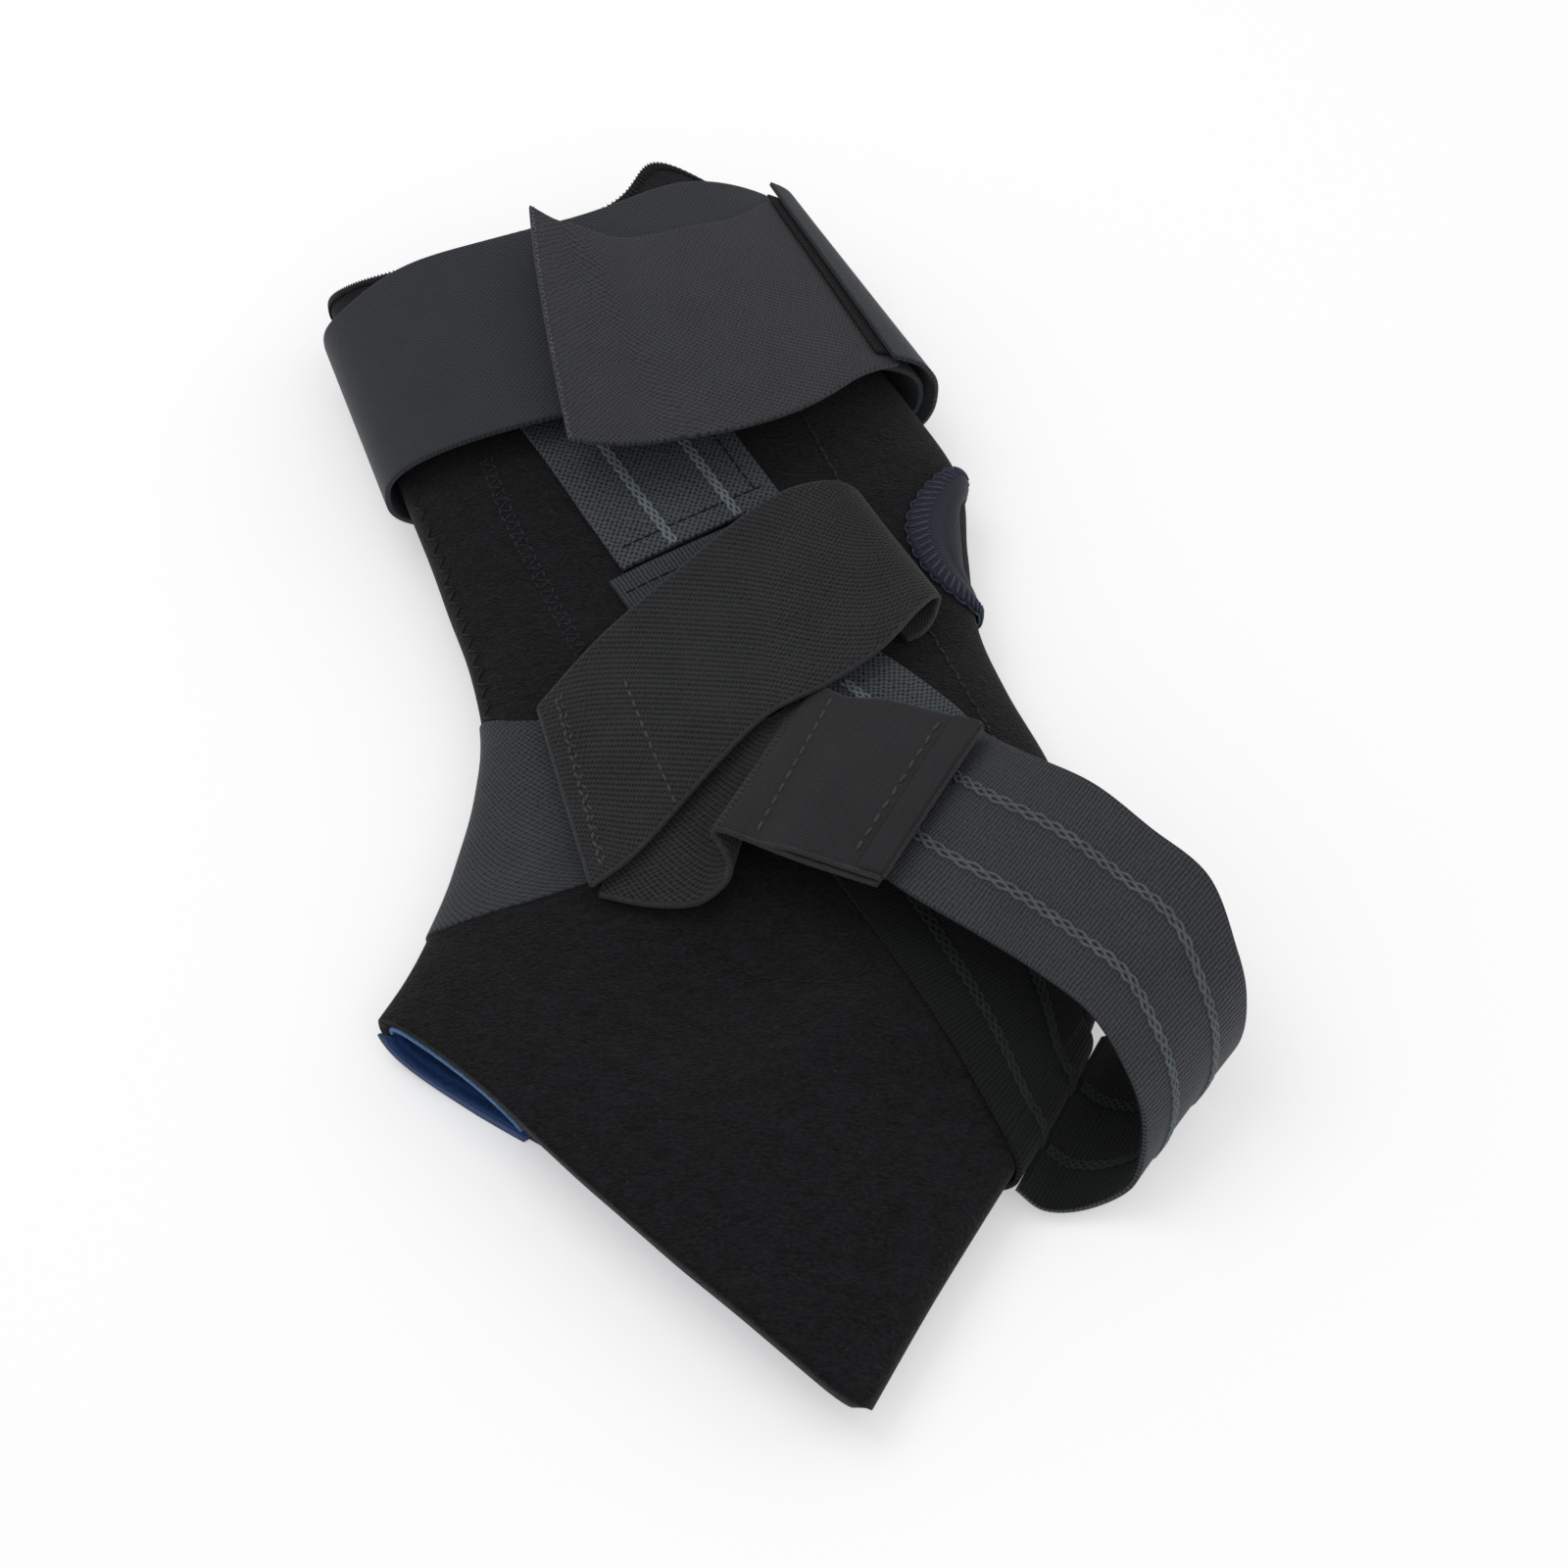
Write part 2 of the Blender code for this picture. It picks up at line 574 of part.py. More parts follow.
def main():
    clear_scene()
    brace = bpy.data.collections.new("ankle_support")
    cutters = bpy.data.collections.new("cutters")
    bpy.context.scene.collection.children.link(brace)
    bpy.context.scene.collection.children.link(cutters)

    last = len(SLEEVE_SECTIONS) - 1
    places = spaced(round(last * ROWS_PER_SECTION), last)
    sleeve = tube("sleeve", sleeve_point, places, 0.0, -SLEEVE_WALL, brace)
    skin = -SLEEVE_WALL - CLEARANCE
    lining = tube("lining", sleeve_point, places, skin, skin - LINING_WALL, brace)
    body = bmesh.new()
    body.from_mesh(sleeve.data)
    tree = BVHTree.FromBMesh(body)

    cutter = build_vent_cutter(cutters)
    cut(sleeve, cutter)
    cut(lining, cutter)
    build_binding(brace)
    plate("instep_panel", panel_grid(PANEL_ROWS), 0.0, PANEL_WALL, brace)

    tube("top_band", band_point, spaced(4, 1.0), 0.0, -BAND_WALL, brace)
    plate("band_flap", band_grid(FLAP_ROWS), 0.0, FLAP_WALL, brace)
    plate("hook_tape", band_grid(TAPE_ROWS), 0.0, TAPE_WALL, brace)
    plate("band_tab", band_grid(TAB_ROWS), 0.0, FLAP_WALL, brace)

    leg_rows = centred_rows(LEG_WEBBING_ROWS, WEBBING_WIDTH)
    plate("leg_webbing", draped_grid(leg_rows, tree, SEAT, per_row=3), 0.0, WEBBING_WALL, brace)
    ribbon_rows = centred_rows(END_RIBBON_ROWS, RIBBON_WIDTH)
    plate("end_ribbon", draped_grid(ribbon_rows, tree, SEAT), 0.0, RIBBON_WALL, brace)
    plate("stirrup_webbing", draped_grid(STIRRUP_ROWS, tree, SEAT), 0.0, WEBBING_WALL, brace)
    over_stirrup = SEAT + WEBBING_WALL + SEAT
    plate("loop_webbing", free_grid(LOOP_ROWS, tree, over_stirrup, 3), 0.0, WEBBING_WALL, brace)
    plate("elastic_strap", draped_grid(ELASTIC_ROWS, tree, 0.0), 0.0, ELASTIC_WALL, brace)
    plate("elastic_tail", free_grid(TAIL_ROWS), -ELASTIC_WALL / 2, ELASTIC_WALL / 2, brace)
    plate("elastic_patch", free_grid(PATCH_ROWS, per_row=3), 0.0, PATCH_WALL, brace)
    body.free()
    stand_on_origin(brace, cutters)


main()
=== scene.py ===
# Ankle support lying on its side: foam sleeve, leg band with a lifted flap, webbing stirrup loop and elastic strap.

import logging
import math
from collections.abc import Callable, Sequence
from dataclasses import dataclass, field
from enum import Enum

import bmesh
import bpy
from mathutils import Matrix, Vector, noise
from mathutils.bvhtree import BVHTree


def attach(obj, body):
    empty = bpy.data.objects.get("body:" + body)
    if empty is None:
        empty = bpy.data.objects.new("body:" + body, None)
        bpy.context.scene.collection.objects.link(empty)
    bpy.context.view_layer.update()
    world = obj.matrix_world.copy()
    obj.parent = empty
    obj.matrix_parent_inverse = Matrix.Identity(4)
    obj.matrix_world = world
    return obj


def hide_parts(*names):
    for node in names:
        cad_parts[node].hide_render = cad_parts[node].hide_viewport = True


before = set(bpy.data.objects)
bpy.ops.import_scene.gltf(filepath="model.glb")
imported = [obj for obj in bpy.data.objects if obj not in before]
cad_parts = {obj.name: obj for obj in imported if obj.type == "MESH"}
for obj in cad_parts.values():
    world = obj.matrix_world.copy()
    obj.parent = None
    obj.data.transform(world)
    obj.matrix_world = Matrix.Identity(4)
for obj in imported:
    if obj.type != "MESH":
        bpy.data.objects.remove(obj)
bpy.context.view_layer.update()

LOG = logging.getLogger("ankle_support")

# Named sizes in metres, the same as the solids' except where the photo asked for another.
BRACE_HEIGHT = 0.250
REST_HEIGHT = 0.030
SLEEVE_WALL = 0.003
LINING_WALL = 0.0008
BAND_WALL = 0.0012
FLAP_WALL = 0.0010
TAPE_WALL = 0.0006
WEBBING_WALL = 0.0010
RIBBON_WALL = 0.0009
ELASTIC_WALL = 0.0013
PATCH_WALL = 0.0014
PANEL_WALL = 0.0010
BINDING_WALL = 0.0009
WEBBING_WIDTH = 0.038
RIBBON_WIDTH = 0.042
BINDING_WIDTH = 0.007
VENT_LENGTH = 0.028
VENT_DEPTH = 0.006
VENT_SLOPE = 0.35
CLEARANCE = 0.0003
SEAT = 0.0005
TOP_EDGE_RISE = 0.0150
FOLD_ANGLE = 50.0
FOLD_SPREAD = 19.0
EDGE_SECTIONS = 3.0
REST_SQUASH = 0.0008
ROUNDNESS = 0.77
VENT_SECTION = 4.9
PLACE = Vector((0.010098, -0.014682, 0.0))     # from the tables' zero to the middle of the footprint

Row = Sequence[float]
Surface = Callable[[float, float], Vector]

SLEEVE_SECTIONS = (
    # front_x, front_y, rear_x, rear_y, base, crown
    (-0.412, 0.524, -0.034, 0.656, 0.08, 0.77),
    (-0.388, 0.448, 0.014, 0.582, 0.08, 0.78),
    (-0.350, 0.348, 0.058, 0.480, 0.08, 0.78),
    (-0.314, 0.252, 0.108, 0.388, 0.08, 0.76),
    (-0.294, 0.200, 0.150, 0.300, 0.06, 0.70),
    (-0.276, 0.148, 0.154, 0.216, 0.06, 0.65),
    (-0.256, 0.092, 0.159, 0.132, 0.05, 0.62),
    (-0.242, 0.036, 0.180, 0.062, 0.02, 0.60),
    (-0.238, 0.000, 0.210, -0.014, 0.00, 0.60),
    (-0.239, -0.032, 0.232, -0.096, 0.00, 0.58),
    (-0.242, -0.064, 0.246, -0.176, 0.00, 0.56),
    (-0.248, -0.100, 0.228, -0.252, 0.00, 0.55),
    (-0.256, -0.140, 0.190, -0.332, 0.00, 0.54),
    (-0.270, -0.188, 0.140, -0.418, 0.00, 0.53),
    (-0.282, -0.220, 0.100, -0.487, 0.00, 0.52),
    (-0.298, -0.251, 0.058, -0.564, 0.00, 0.49),
)
OPENING_ROWS = (
    # angle, leg_reach, foot_reach
    (0, 0.000, 0.000),
    (30, 0.000, 0.008),
    (60, 0.000, 0.010),
    (90, -0.006, 0.010),
    (120, -0.014, -0.002),
    (150, -0.006, -0.003),
    (180, 0.000, 0.000),
    (210, 0.000, 0.004),
    (240, 0.000, -0.008),
    (270, 0.000, -0.024),
    (300, 0.000, -0.030),
    (330, 0.000, -0.018),
    (360, 0.000, 0.000),
)
BAND_SECTIONS = (
    # front_x, front_y, rear_x, rear_y, base, crown
    (-0.411, 0.470, 0.010, 0.630, 0.00, 0.90),
    (-0.372, 0.362, 0.064, 0.516, 0.00, 0.97),
    (-0.336, 0.262, 0.122, 0.396, 0.00, 1.03),
)
BAND_EDGE_ROWS = (
    # angle, far_reach
    (0, 0.006),
    (30, 0.028),
    (60, 0.048),
    (90, 0.027),
    (120, 0.026),
    (150, 0.004),
    (180, 0.000),
    (210, 0.000),
    (240, 0.000),
    (270, 0.000),
    (300, 0.000),
    (330, 0.000),
    (360, 0.006),
)
SLEEVE_DENTS = (
    # x, y, radius, depth
    (-0.040, -0.250, 0.070, 0.09),
    (0.035, -0.275, 0.045, -0.07),
    (0.000, -0.330, 0.050, -0.03),
    (-0.180, 0.140, 0.060, 0.04),
    (0.120, -0.360, 0.060, 0.03),
)
LEG_WEBBING_ROWS = (
    # x, y, heading
    (-0.158, 0.357, 30.5),
    (-0.112, 0.280, 30.5),
    (-0.066, 0.203, 30.5),
)
END_RIBBON_ROWS = (
    # x, y, heading
    (-0.070, 0.195, 30.5),
    (-0.054, 0.168, 30.5),
    (-0.038, 0.141, 30.5),
)
STIRRUP_ROWS = (
    # right_x, right_y, left_x, left_y, right_lift, left_lift
    (0.104, 0.038, -0.026, -0.040, 0.0, 0.0),
    (0.146, -0.036, 0.014, -0.108, 0.0, 0.0),
    (0.176, -0.096, 0.051, -0.169, 0.0, 0.0),
    (0.202, -0.158, 0.086, -0.229, 0.0, 0.0),
    (0.215, -0.212, 0.122, -0.294, 0.0, 0.0),
    (0.215, -0.262, 0.157, -0.368, 0.02, 0.02),
)
ELASTIC_ROWS = (
    # far_x, far_y, near_x, near_y, far_lift, near_lift
    (-0.191, 0.017, -0.142, -0.163, 0.08, 0.14),
    (-0.158, 0.064, -0.116, -0.140, 0.10, 0.15),
    (-0.125, 0.103, -0.088, -0.104, 0.13, 0.16),
    (-0.079, 0.154, -0.052, -0.055, 0.14, 0.18),
    (-0.036, 0.199, -0.012, -0.008, 0.16, 0.20),
    (0.000, 0.228, 0.034, 0.023, 0.18, 0.21),
    (0.032, 0.238, 0.075, 0.060, 0.20, 0.22),
    (0.050, 0.235, 0.107, 0.106, 0.21, 0.23),
    (0.061, 0.226, 0.121, 0.125, 0.17, 0.19),
    (0.053, 0.221, 0.119, 0.113, 0.12, 0.13),
    (0.022, 0.212, 0.110, 0.099, 0.11, 0.09),
    (-0.010, 0.188, 0.098, 0.092, 0.11, 0.07),
)
LOOP_ROWS = (
    # far_x, far_y, far_z, near_x, near_y, near_z
    (0.072, 0.076, 0.62, -0.028, -0.020, 0.62),
    (0.100, 0.048, 0.64, -0.004, -0.050, 0.63),
    (0.132, 0.008, 0.70, 0.032, -0.100, 0.67),
    (0.154, -0.034, 0.82, 0.054, -0.146, 0.79),
    (0.184, -0.072, 0.98, 0.084, -0.190, 0.90),
    (0.228, -0.112, 1.10, 0.140, -0.236, 0.93),
    (0.266, -0.157, 1.13, 0.178, -0.271, 0.97),
    (0.304, -0.199, 1.11, 0.215, -0.305, 0.93),
    (0.321, -0.247, 0.93, 0.238, -0.340, 0.78),
    (0.328, -0.269, 0.70, 0.249, -0.360, 0.58),
    (0.325, -0.283, 0.43, 0.249, -0.378, 0.39),
    (0.305, -0.289, 0.21, 0.240, -0.391, 0.21),
    (0.277, -0.280, 0.11, 0.212, -0.399, 0.10),
    (0.252, -0.270, 0.12, 0.184, -0.400, 0.09),
    (0.234, -0.264, 0.24, 0.164, -0.392, 0.20),
)
TAIL_ROWS = (
    # far_x, far_y, far_z, near_x, near_y, near_z
    (-0.104, -0.036, 0.65, -0.137, -0.164, 0.57),
    (-0.062, -0.042, 0.67, -0.100, -0.174, 0.58),
    (-0.034, -0.040, 0.70, -0.066, -0.175, 0.60),
    (-0.020, -0.034, 0.72, -0.046, -0.163, 0.65),
    (-0.012, -0.028, 0.73, -0.040, -0.154, 0.71),
    (-0.005, -0.020, 0.74, -0.042, -0.147, 0.78),
    (0.001, -0.012, 0.75, -0.048, -0.141, 0.85),
    (0.006, -0.006, 0.76, -0.052, -0.137, 0.90),
    (0.014, 0.000, 0.77, -0.047, -0.137, 0.93),
    (0.030, 0.006, 0.79, -0.028, -0.147, 0.95),
    (0.082, -0.010, 0.83, 0.010, -0.168, 0.97),
    (0.148, -0.043, 0.93, 0.068, -0.193, 0.98),
)
PATCH_ROWS = (
    # far_x, far_y, far_z, near_x, near_y, near_z
    (0.034, 0.005, 0.83, -0.034, -0.144, 0.985),
    (0.084, -0.010, 0.87, 0.012, -0.167, 1.005),
    (0.150, -0.043, 0.97, 0.070, -0.193, 1.020),
)
FLAP_ROWS = (
    # far_angle, near_angle, far_run, near_run, far_lift, near_lift
    (92.5, 106, 0.05, 1.23, 0.27, 0.15),
    (89, 101, 0.16, 1.26, 0.16, 0.10),
    (84, 94, 0.23, 1.28, 0.07, 0.06),
    (77, 85, 0.25, 1.27, 0.03, 0.04),
    (67, 74, 0.26, 1.22, 0.02, 0.03),
    (57, 63, 0.26, 1.15, 0.02, 0.02),
    (47, 52, 0.21, 1.08, 0.02, 0.02),
    (38, 42, 0.14, 1.04, 0.02, 0.02),
    (29, 32, 0.08, 1.01, 0.02, 0.02),
)
TAPE_ROWS = (
    # far_angle, near_angle, far_run, near_run, far_lift, near_lift
    (34, 42, 0.08, 0.98, 0.067, 0.067),
    (26, 32, 0.08, 0.98, 0.067, 0.067),
)
TAB_ROWS = (
    # far_angle, near_angle, far_run, near_run, far_lift, near_lift
    (31, 39, 0.02, 1.02, 0.100, 0.100),
    (22, 29, 0.02, 1.03, 0.100, 0.100),
    (12, 18, 0.02, 1.03, 0.070, 0.075),
    (2, 6, 0.02, 1.03, 0.050, 0.055),
    (-8, -6, 0.02, 1.03, 0.040, 0.040),
    (-22, -22, 0.02, 1.03, 0.040, 0.040),
)
PANEL_ROWS = (
    # angle, top_section, bottom_section
    (200, 7.4, 12.6),
    (180, 7.2, 12.8),
    (160, 7.3, 12.7),
    (145, 7.5, 12.4),
    (130, 7.6, 11.9),
    (118, 7.7, 11.3),
)
# Sewn lines on the sleeve, as plan shares of BRACE_HEIGHT.
FRONT_SEAM = ((-0.252, 0.290), (-0.232, 0.234), (-0.191, 0.144), (-0.160, 0.077), (-0.150, 0.050))
REAR_SEAM = ((0.004, 0.370), (0.053, 0.252), (0.122, 0.099), (0.161, 0.005), (0.176, -0.035))
ANKLE_SEAM = (
    (-0.090, -0.186), (-0.061, -0.195), (-0.045, -0.212), (-0.022, -0.228), (0.018, -0.239), (0.043, -0.241),
    (0.062, -0.230),
)


def smooth_row(table: Sequence[Row], place: float) -> list[float]:
    """Read a table at a fractional row, on a smooth curve through its rows.

    Args:
        table: Rows of numbers.
        place: Row number, which may have a fraction.

    Returns:
        One row of numbers.
    """
    last = len(table) - 1
    index = min(max(int(math.floor(place)), 0), last - 1)
    t = place - index
    if t < 0.0 or t > 1.0:
        return [p + (q - p) * t for p, q in zip(table[index], table[index + 1])]
    before, after = table[max(index - 1, 0)], table[min(index + 2, last)]
    row = []
    for a, p, q, b in zip(before, table[index], table[index + 1], after):
        start = (q - a) * 0.5 if index else q - p
        end = (b - p) * 0.5 if index + 2 <= last else q - p
        row.append(
            p * (2 * t**3 - 3 * t**2 + 1)
            + start * (t**3 - 2 * t**2 + t)
            + q * (3 * t**2 - 2 * t**3)
            + end * (t**3 - t**2)
        )
    return row


def soft_step(low: float, high: float, value: float) -> float:
    """Smooth change from 0 at low to 1 at high."""
    t = min(max((value - low) / (high - low), 0.0), 1.0)
    return t * t * (3.0 - 2.0 * t)


def section_point(table: Sequence[Row], place: float, angle: float, out: float) -> Vector:
    """Point on a flattened cloth tube.

    Args:
        table: Sections of the tube.
        place: Section number, which may have a fraction.
        angle: Degrees round the section, 0 at the rear fold and 90 on top.
        out: Distance outside the surface.

    Returns:
        The point in the tables' own place.
    """
    front_x, front_y, rear_x, rear_y, base, crown = smooth_row(table, place)
    base = max(base, 0.0)
    front = Vector((front_x, front_y, 0.0)) * BRACE_HEIGHT
    rear = Vector((rear_x, rear_y, 0.0)) * BRACE_HEIGHT
    half_width = (rear - front).length / 2 + out
    half_height = (crown - base) * REST_HEIGHT / 2 + out
    turn = math.radians(angle)
    side = math.copysign(abs(math.cos(turn)) ** ROUNDNESS, math.cos(turn)) * half_width
    rise = math.copysign(abs(math.sin(turn)) ** ROUNDNESS, math.sin(turn)) * half_height
    point = (front + rear) / 2 + (rear - front).normalized() * side
    point.z = max((crown + base) * REST_HEIGHT / 2 + rise - REST_SQUASH, base * REST_HEIGHT - out)
    return point


def section_pitch(table: Sequence[Row], index: int) -> float:
    """Distance between the middles of two neighbouring sections."""
    (ax, ay, bx, by), (cx, cy, dx, dy) = table[index][:4], table[index + 1][:4]
    return math.hypot((cx + dx - ax - bx) / 2, (cy + dy - ay - by) / 2) * BRACE_HEIGHT


def around_row(table: Sequence[Row], angle: float) -> list[float]:
    """Values of a table whose rows stand at even angles round the tube, the angle left out."""
    step = table[1][0] - table[0][0]
    return smooth_row(table, angle % 360.0 / step)[1:]


def linear(value: str) -> tuple[float, float, float, float]:
    """Turn an sRGB hex colour into linear values with full alpha."""
    parts = [int(value[i:i + 2], 16) / 255 for i in (1, 3, 5)]
    return (*[p / 12.92 if p <= 0.04045 else ((p + 0.055) / 1.055) ** 2.4 for p in parts], 1.0)


def add_node(tree: bpy.types.NodeTree, kind: str, settings: dict, inputs: dict) -> bpy.types.Node:
    """Add one node with its settings and links.

    Args:
        tree: The material's node tree.
        kind: The node's type.
        settings: Attributes to set.
        inputs: Sockets by name or number, each a value or the socket that feeds it.

    Returns:
        The node.
    """
    made = tree.nodes.new(kind)
    for name, value in settings.items():
        setattr(made, name, value)
    for key, value in inputs.items():
        if isinstance(value, bpy.types.NodeSocket):
            tree.links.new(value, made.inputs[key])
        else:
            made.inputs[key].default_value = value
    return made


class Weave(Enum):
    """How a cloth's face is made."""

    NAP = "brushed loop pile"
    HOLES = "staggered gaps between crossing yarns"
    RIB = "ribs across the strap"
    CORD = "ribs along the strap"
    PLAIN = "smooth face"


@dataclass(frozen=True)
class Cloth:
    """A cloth finish: two yarn colours, the size of its pattern in millimetres, and how it takes light."""

    name: str
    weave: Weave
    dark: str
    light: str
    across_mm: float = 0.9
    along_mm: float = 0.9
    fill: float = 0.7
    relief_mm: float = 0.15
    roughness: float = 0.85
    sheen: float = 0.10
    mottle: float = 0.20

    def make(self) -> bpy.types.Material:
        """Build the material.

        Returns:
            The node-based material.
        """
        found = bpy.data.materials.get(self.name)
        if found:
            return found
        material = bpy.data.materials.new(self.name)
        material.use_nodes = True
        tree = material.node_tree
        shader = tree.nodes["Principled BSDF"]
        where = add_node(tree, "ShaderNodeTexCoord", {}, {})
        if self.weave in (Weave.NAP, Weave.PLAIN):
            height = self.pile(tree, where.outputs["Object"])
        else:
            height = self.yarns(tree, where.outputs["UV"])
        clouds = add_node(tree, "ShaderNodeTexNoise", {}, {
            "Vector": where.outputs["Object"], "Scale": 90.0, "Detail": 3.0, "Roughness": 0.6})
        # Wear and dye vary the face a little over about a centimetre.
        spread = add_node(tree, "ShaderNodeMapRange", {}, {
            "Value": clouds.outputs["Fac"], "From Min": 0.35, "From Max": 0.65,
            "To Min": -self.mottle / 2, "To Max": self.mottle / 2})
        share = self.sum(tree, height, 1.0, spread.outputs["Result"])
        tint = add_node(tree, "ShaderNodeMix", {"data_type": "RGBA"}, {
            "Factor": share, 6: linear(self.dark), 7: linear(self.light)})
        bump = add_node(tree, "ShaderNodeBump", {}, {
            "Height": height, "Strength": 0.9, "Distance": self.relief_mm / 1000})
        tree.links.new(tint.outputs[2], shader.inputs["Base Color"])
        tree.links.new(bump.outputs["Normal"], shader.inputs["Normal"])
        shader.inputs["Roughness"].default_value = self.roughness
        shader.inputs["Sheen Weight"].default_value = self.sheen
        shader.inputs["Sheen Roughness"].default_value = 0.5
        shader.inputs["Specular IOR Level"].default_value = 0.20
        return material

    @staticmethod
    def sum(tree: bpy.types.NodeTree, value: bpy.types.NodeSocket, times: float,
            plus: float | bpy.types.NodeSocket) -> bpy.types.NodeSocket:
        """A value times a number plus another, held between 0 and 1."""
        made = add_node(tree, "ShaderNodeMath", {"operation": "MULTIPLY_ADD", "use_clamp": True}, {
            0: value, 1: times, 2: plus})
        return made.outputs[0]

    def pile(self, tree: bpy.types.NodeTree, where: bpy.types.NodeSocket) -> bpy.types.NodeSocket:
        """Fuzz of a brushed face: lumps a yarn wide that lie sideways, with a few bright loop tips."""
        lie = add_node(tree, "ShaderNodeVectorMath", {"operation": "MULTIPLY"}, {0: where, 1: (0.6, 1.0, 1.0)})
        fine = add_node(tree, "ShaderNodeTexNoise", {}, {
            "Vector": lie.outputs[0], "Scale": 1000 / self.across_mm, "Detail": 2.0, "Roughness": 0.7})
        coarse = add_node(tree, "ShaderNodeTexNoise", {}, {
            "Vector": lie.outputs[0], "Scale": 260 / self.across_mm, "Detail": 2.0, "Roughness": 0.6})
        both = add_node(tree, "ShaderNodeMath", {"operation": "MULTIPLY_ADD"}, {
            0: coarse.outputs["Fac"], 1: 0.4, 2: fine.outputs["Fac"]})
        spread = add_node(tree, "ShaderNodeMapRange", {}, {
            "Value": both.outputs[0], "From Min": 0.45, "From Max": 1.0, "To Min": 0.0, "To Max": 1.0})
        tips = add_node(tree, "ShaderNodeTexNoise", {}, {
            "Vector": where, "Scale": 600 / self.along_mm, "Detail": 1.0, "Roughness": 0.5})
        bright = add_node(tree, "ShaderNodeMapRange", {}, {
            "Value": tips.outputs["Fac"], "From Min": 0.70, "From Max": 0.80, "To Min": 0.0, "To Max": 0.8})
        if self.weave is Weave.PLAIN:
            return spread.outputs["Result"]
        return self.sum(tree, spread.outputs["Result"], 1.0, bright.outputs["Result"])

    def yarns(self, tree: bpy.types.NodeTree, where: bpy.types.NodeSocket) -> bpy.types.NodeSocket:
        """Height of the yarns, from the cloth's own millimetres across and along."""
        parts = add_node(tree, "ShaderNodeSeparateXYZ", {}, {"Vector": where})
        wobble = add_node(tree, "ShaderNodeTexNoise", {}, {"Vector": where, "Scale": 0.6, "Detail": 2.0})
        waves = []
        for side, pitch in (("X", self.across_mm), ("Y", self.along_mm)):
            # Yarns never run quite straight: each wave is pushed about by part of its pitch.
            pushed = add_node(tree, "ShaderNodeMath", {"operation": "MULTIPLY_ADD"}, {
                0: wobble.outputs["Fac"], 1: 0.8 * pitch, 2: parts.outputs[side]})
            turn = add_node(tree, "ShaderNodeMath", {"operation": "MULTIPLY"}, {
                0: pushed.outputs[0], 1: 2 * math.pi / pitch})
            waves.append(add_node(tree, "ShaderNodeMath", {"operation": "SINE"}, {0: turn.outputs[0]}).outputs[0])
        if self.weave is Weave.HOLES:
            # The product of both waves dips between every second pair of crossings.
            cross = add_node(tree, "ShaderNodeMath", {"operation": "MULTIPLY"}, {0: waves[0], 1: waves[1]})
            level = self.sum(tree, cross.outputs[0], 0.85, self.fill)
        else:
            ribs, yarn = (waves[1], waves[0]) if self.weave is Weave.RIB else (waves[0], waves[1])
            small = add_node(tree, "ShaderNodeMath", {"operation": "MULTIPLY_ADD"}, {0: yarn, 1: 0.10, 2: self.fill})
            level = self.sum(tree, ribs, 0.42, small.outputs[0])
        fuzz = add_node(tree, "ShaderNodeTexNoise", {}, {"Vector": where, "Scale": 1.8, "Detail": 2.0})
        rough = add_node(tree, "ShaderNodeMath", {"operation": "SUBTRACT"}, {0: fuzz.outputs["Fac"], 1: 0.5})
        return self.sum(tree, rough.outputs[0], 0.9, level)


# Foam sheet faced with brushed loop pile: deep black that scatters light softly, flecked by loop tips.
SLEEVE_CLOTH = Cloth("loop_pile_foam", Weave.NAP, "#09090b", "#27272b", 0.60, 0.75, 0.7, 0.35, 0.95, 0.08, 0.08)
# Polyester tricot laminated inside the foam: deep blue, faint courses.
LINING_CLOTH = Cloth("blue_tricot", Weave.RIB, "#0b2348", "#1a3c70", 0.8, 0.7, 0.6, 0.10, 0.80, 0.10, 0.25)
# The laminate's cut edge, where the foam shows pale blue.
CUT_CLOTH = Cloth("cut_laminate", Weave.PLAIN, "#3f6595", "#6f93bb", 0.5, 0.5, 0.5, 0.10, 0.85, 0.10, 0.30)
# Stretch binding tape round the vent: bluish black, smooth.
BINDING_CLOTH = Cloth("binding_tape", Weave.RIB, "#20222c", "#2f3241", 0.6, 0.7, 0.5, 0.06, 0.70, 0.12, 0.20)
# Spacer knit on the instep: grey, rows of small pits.
PANEL_CLOTH = Cloth("grey_knit", Weave.HOLES, "#26292d", "#4a4e53", 1.3, 1.25, 0.62, 0.14, 0.80, 0.15, 0.15)
# Flat woven elastic: smooth, faintly pitted, a little shiny.
BAND_CLOTH = Cloth("flat_elastic", Weave.HOLES, "#26292d", "#3b3f45", 1.0, 1.1, 0.65, 0.07, 0.72, 0.12, 0.15)
# Pebbled nylon laid on hook-backed tape.
FLAP_CLOTH = Cloth("pebbled_nylon", Weave.HOLES, "#2a2b2e", "#47484d", 1.5, 1.3, 0.60, 0.10, 0.70, 0.10, 0.15)
# Moulded hook tape: rows of stubs, near black.
HOOK_CLOTH = Cloth("hook_stubs", Weave.HOLES, "#0b0b0d", "#1c1d20", 1.2, 1.2, 0.5, 0.25, 0.65, 0.05, 0.10)
# Open nylon webbing down the leg: round gaps in staggered rows.
MESH_CLOTH = Cloth("mesh_webbing", Weave.HOLES, "#0f1214", "#565c61", 1.45, 1.45, 0.78, 0.25, 0.70, 0.12, 0.12)
# Ribbed nylon webbing of the loop.
RIB_CLOTH = Cloth("ribbed_webbing", Weave.RIB, "#2b2c30", "#4f5156", 0.9, 0.80, 0.55, 0.16, 0.72, 0.12, 0.12)
# The same webbing in black for the stirrup, its colour darkened further with painted shade where it lies under the
# loop; also used as painted shade on the loop's inner face.
SHADE_DARKENED_WEBBING = Cloth("shade_darkened_ribbed_webbing", Weave.RIB, "#0b0c0d", "#1d2021", 0.9, 0.80, 0.55, 0.16, 0.80, 0.08, 0.15)
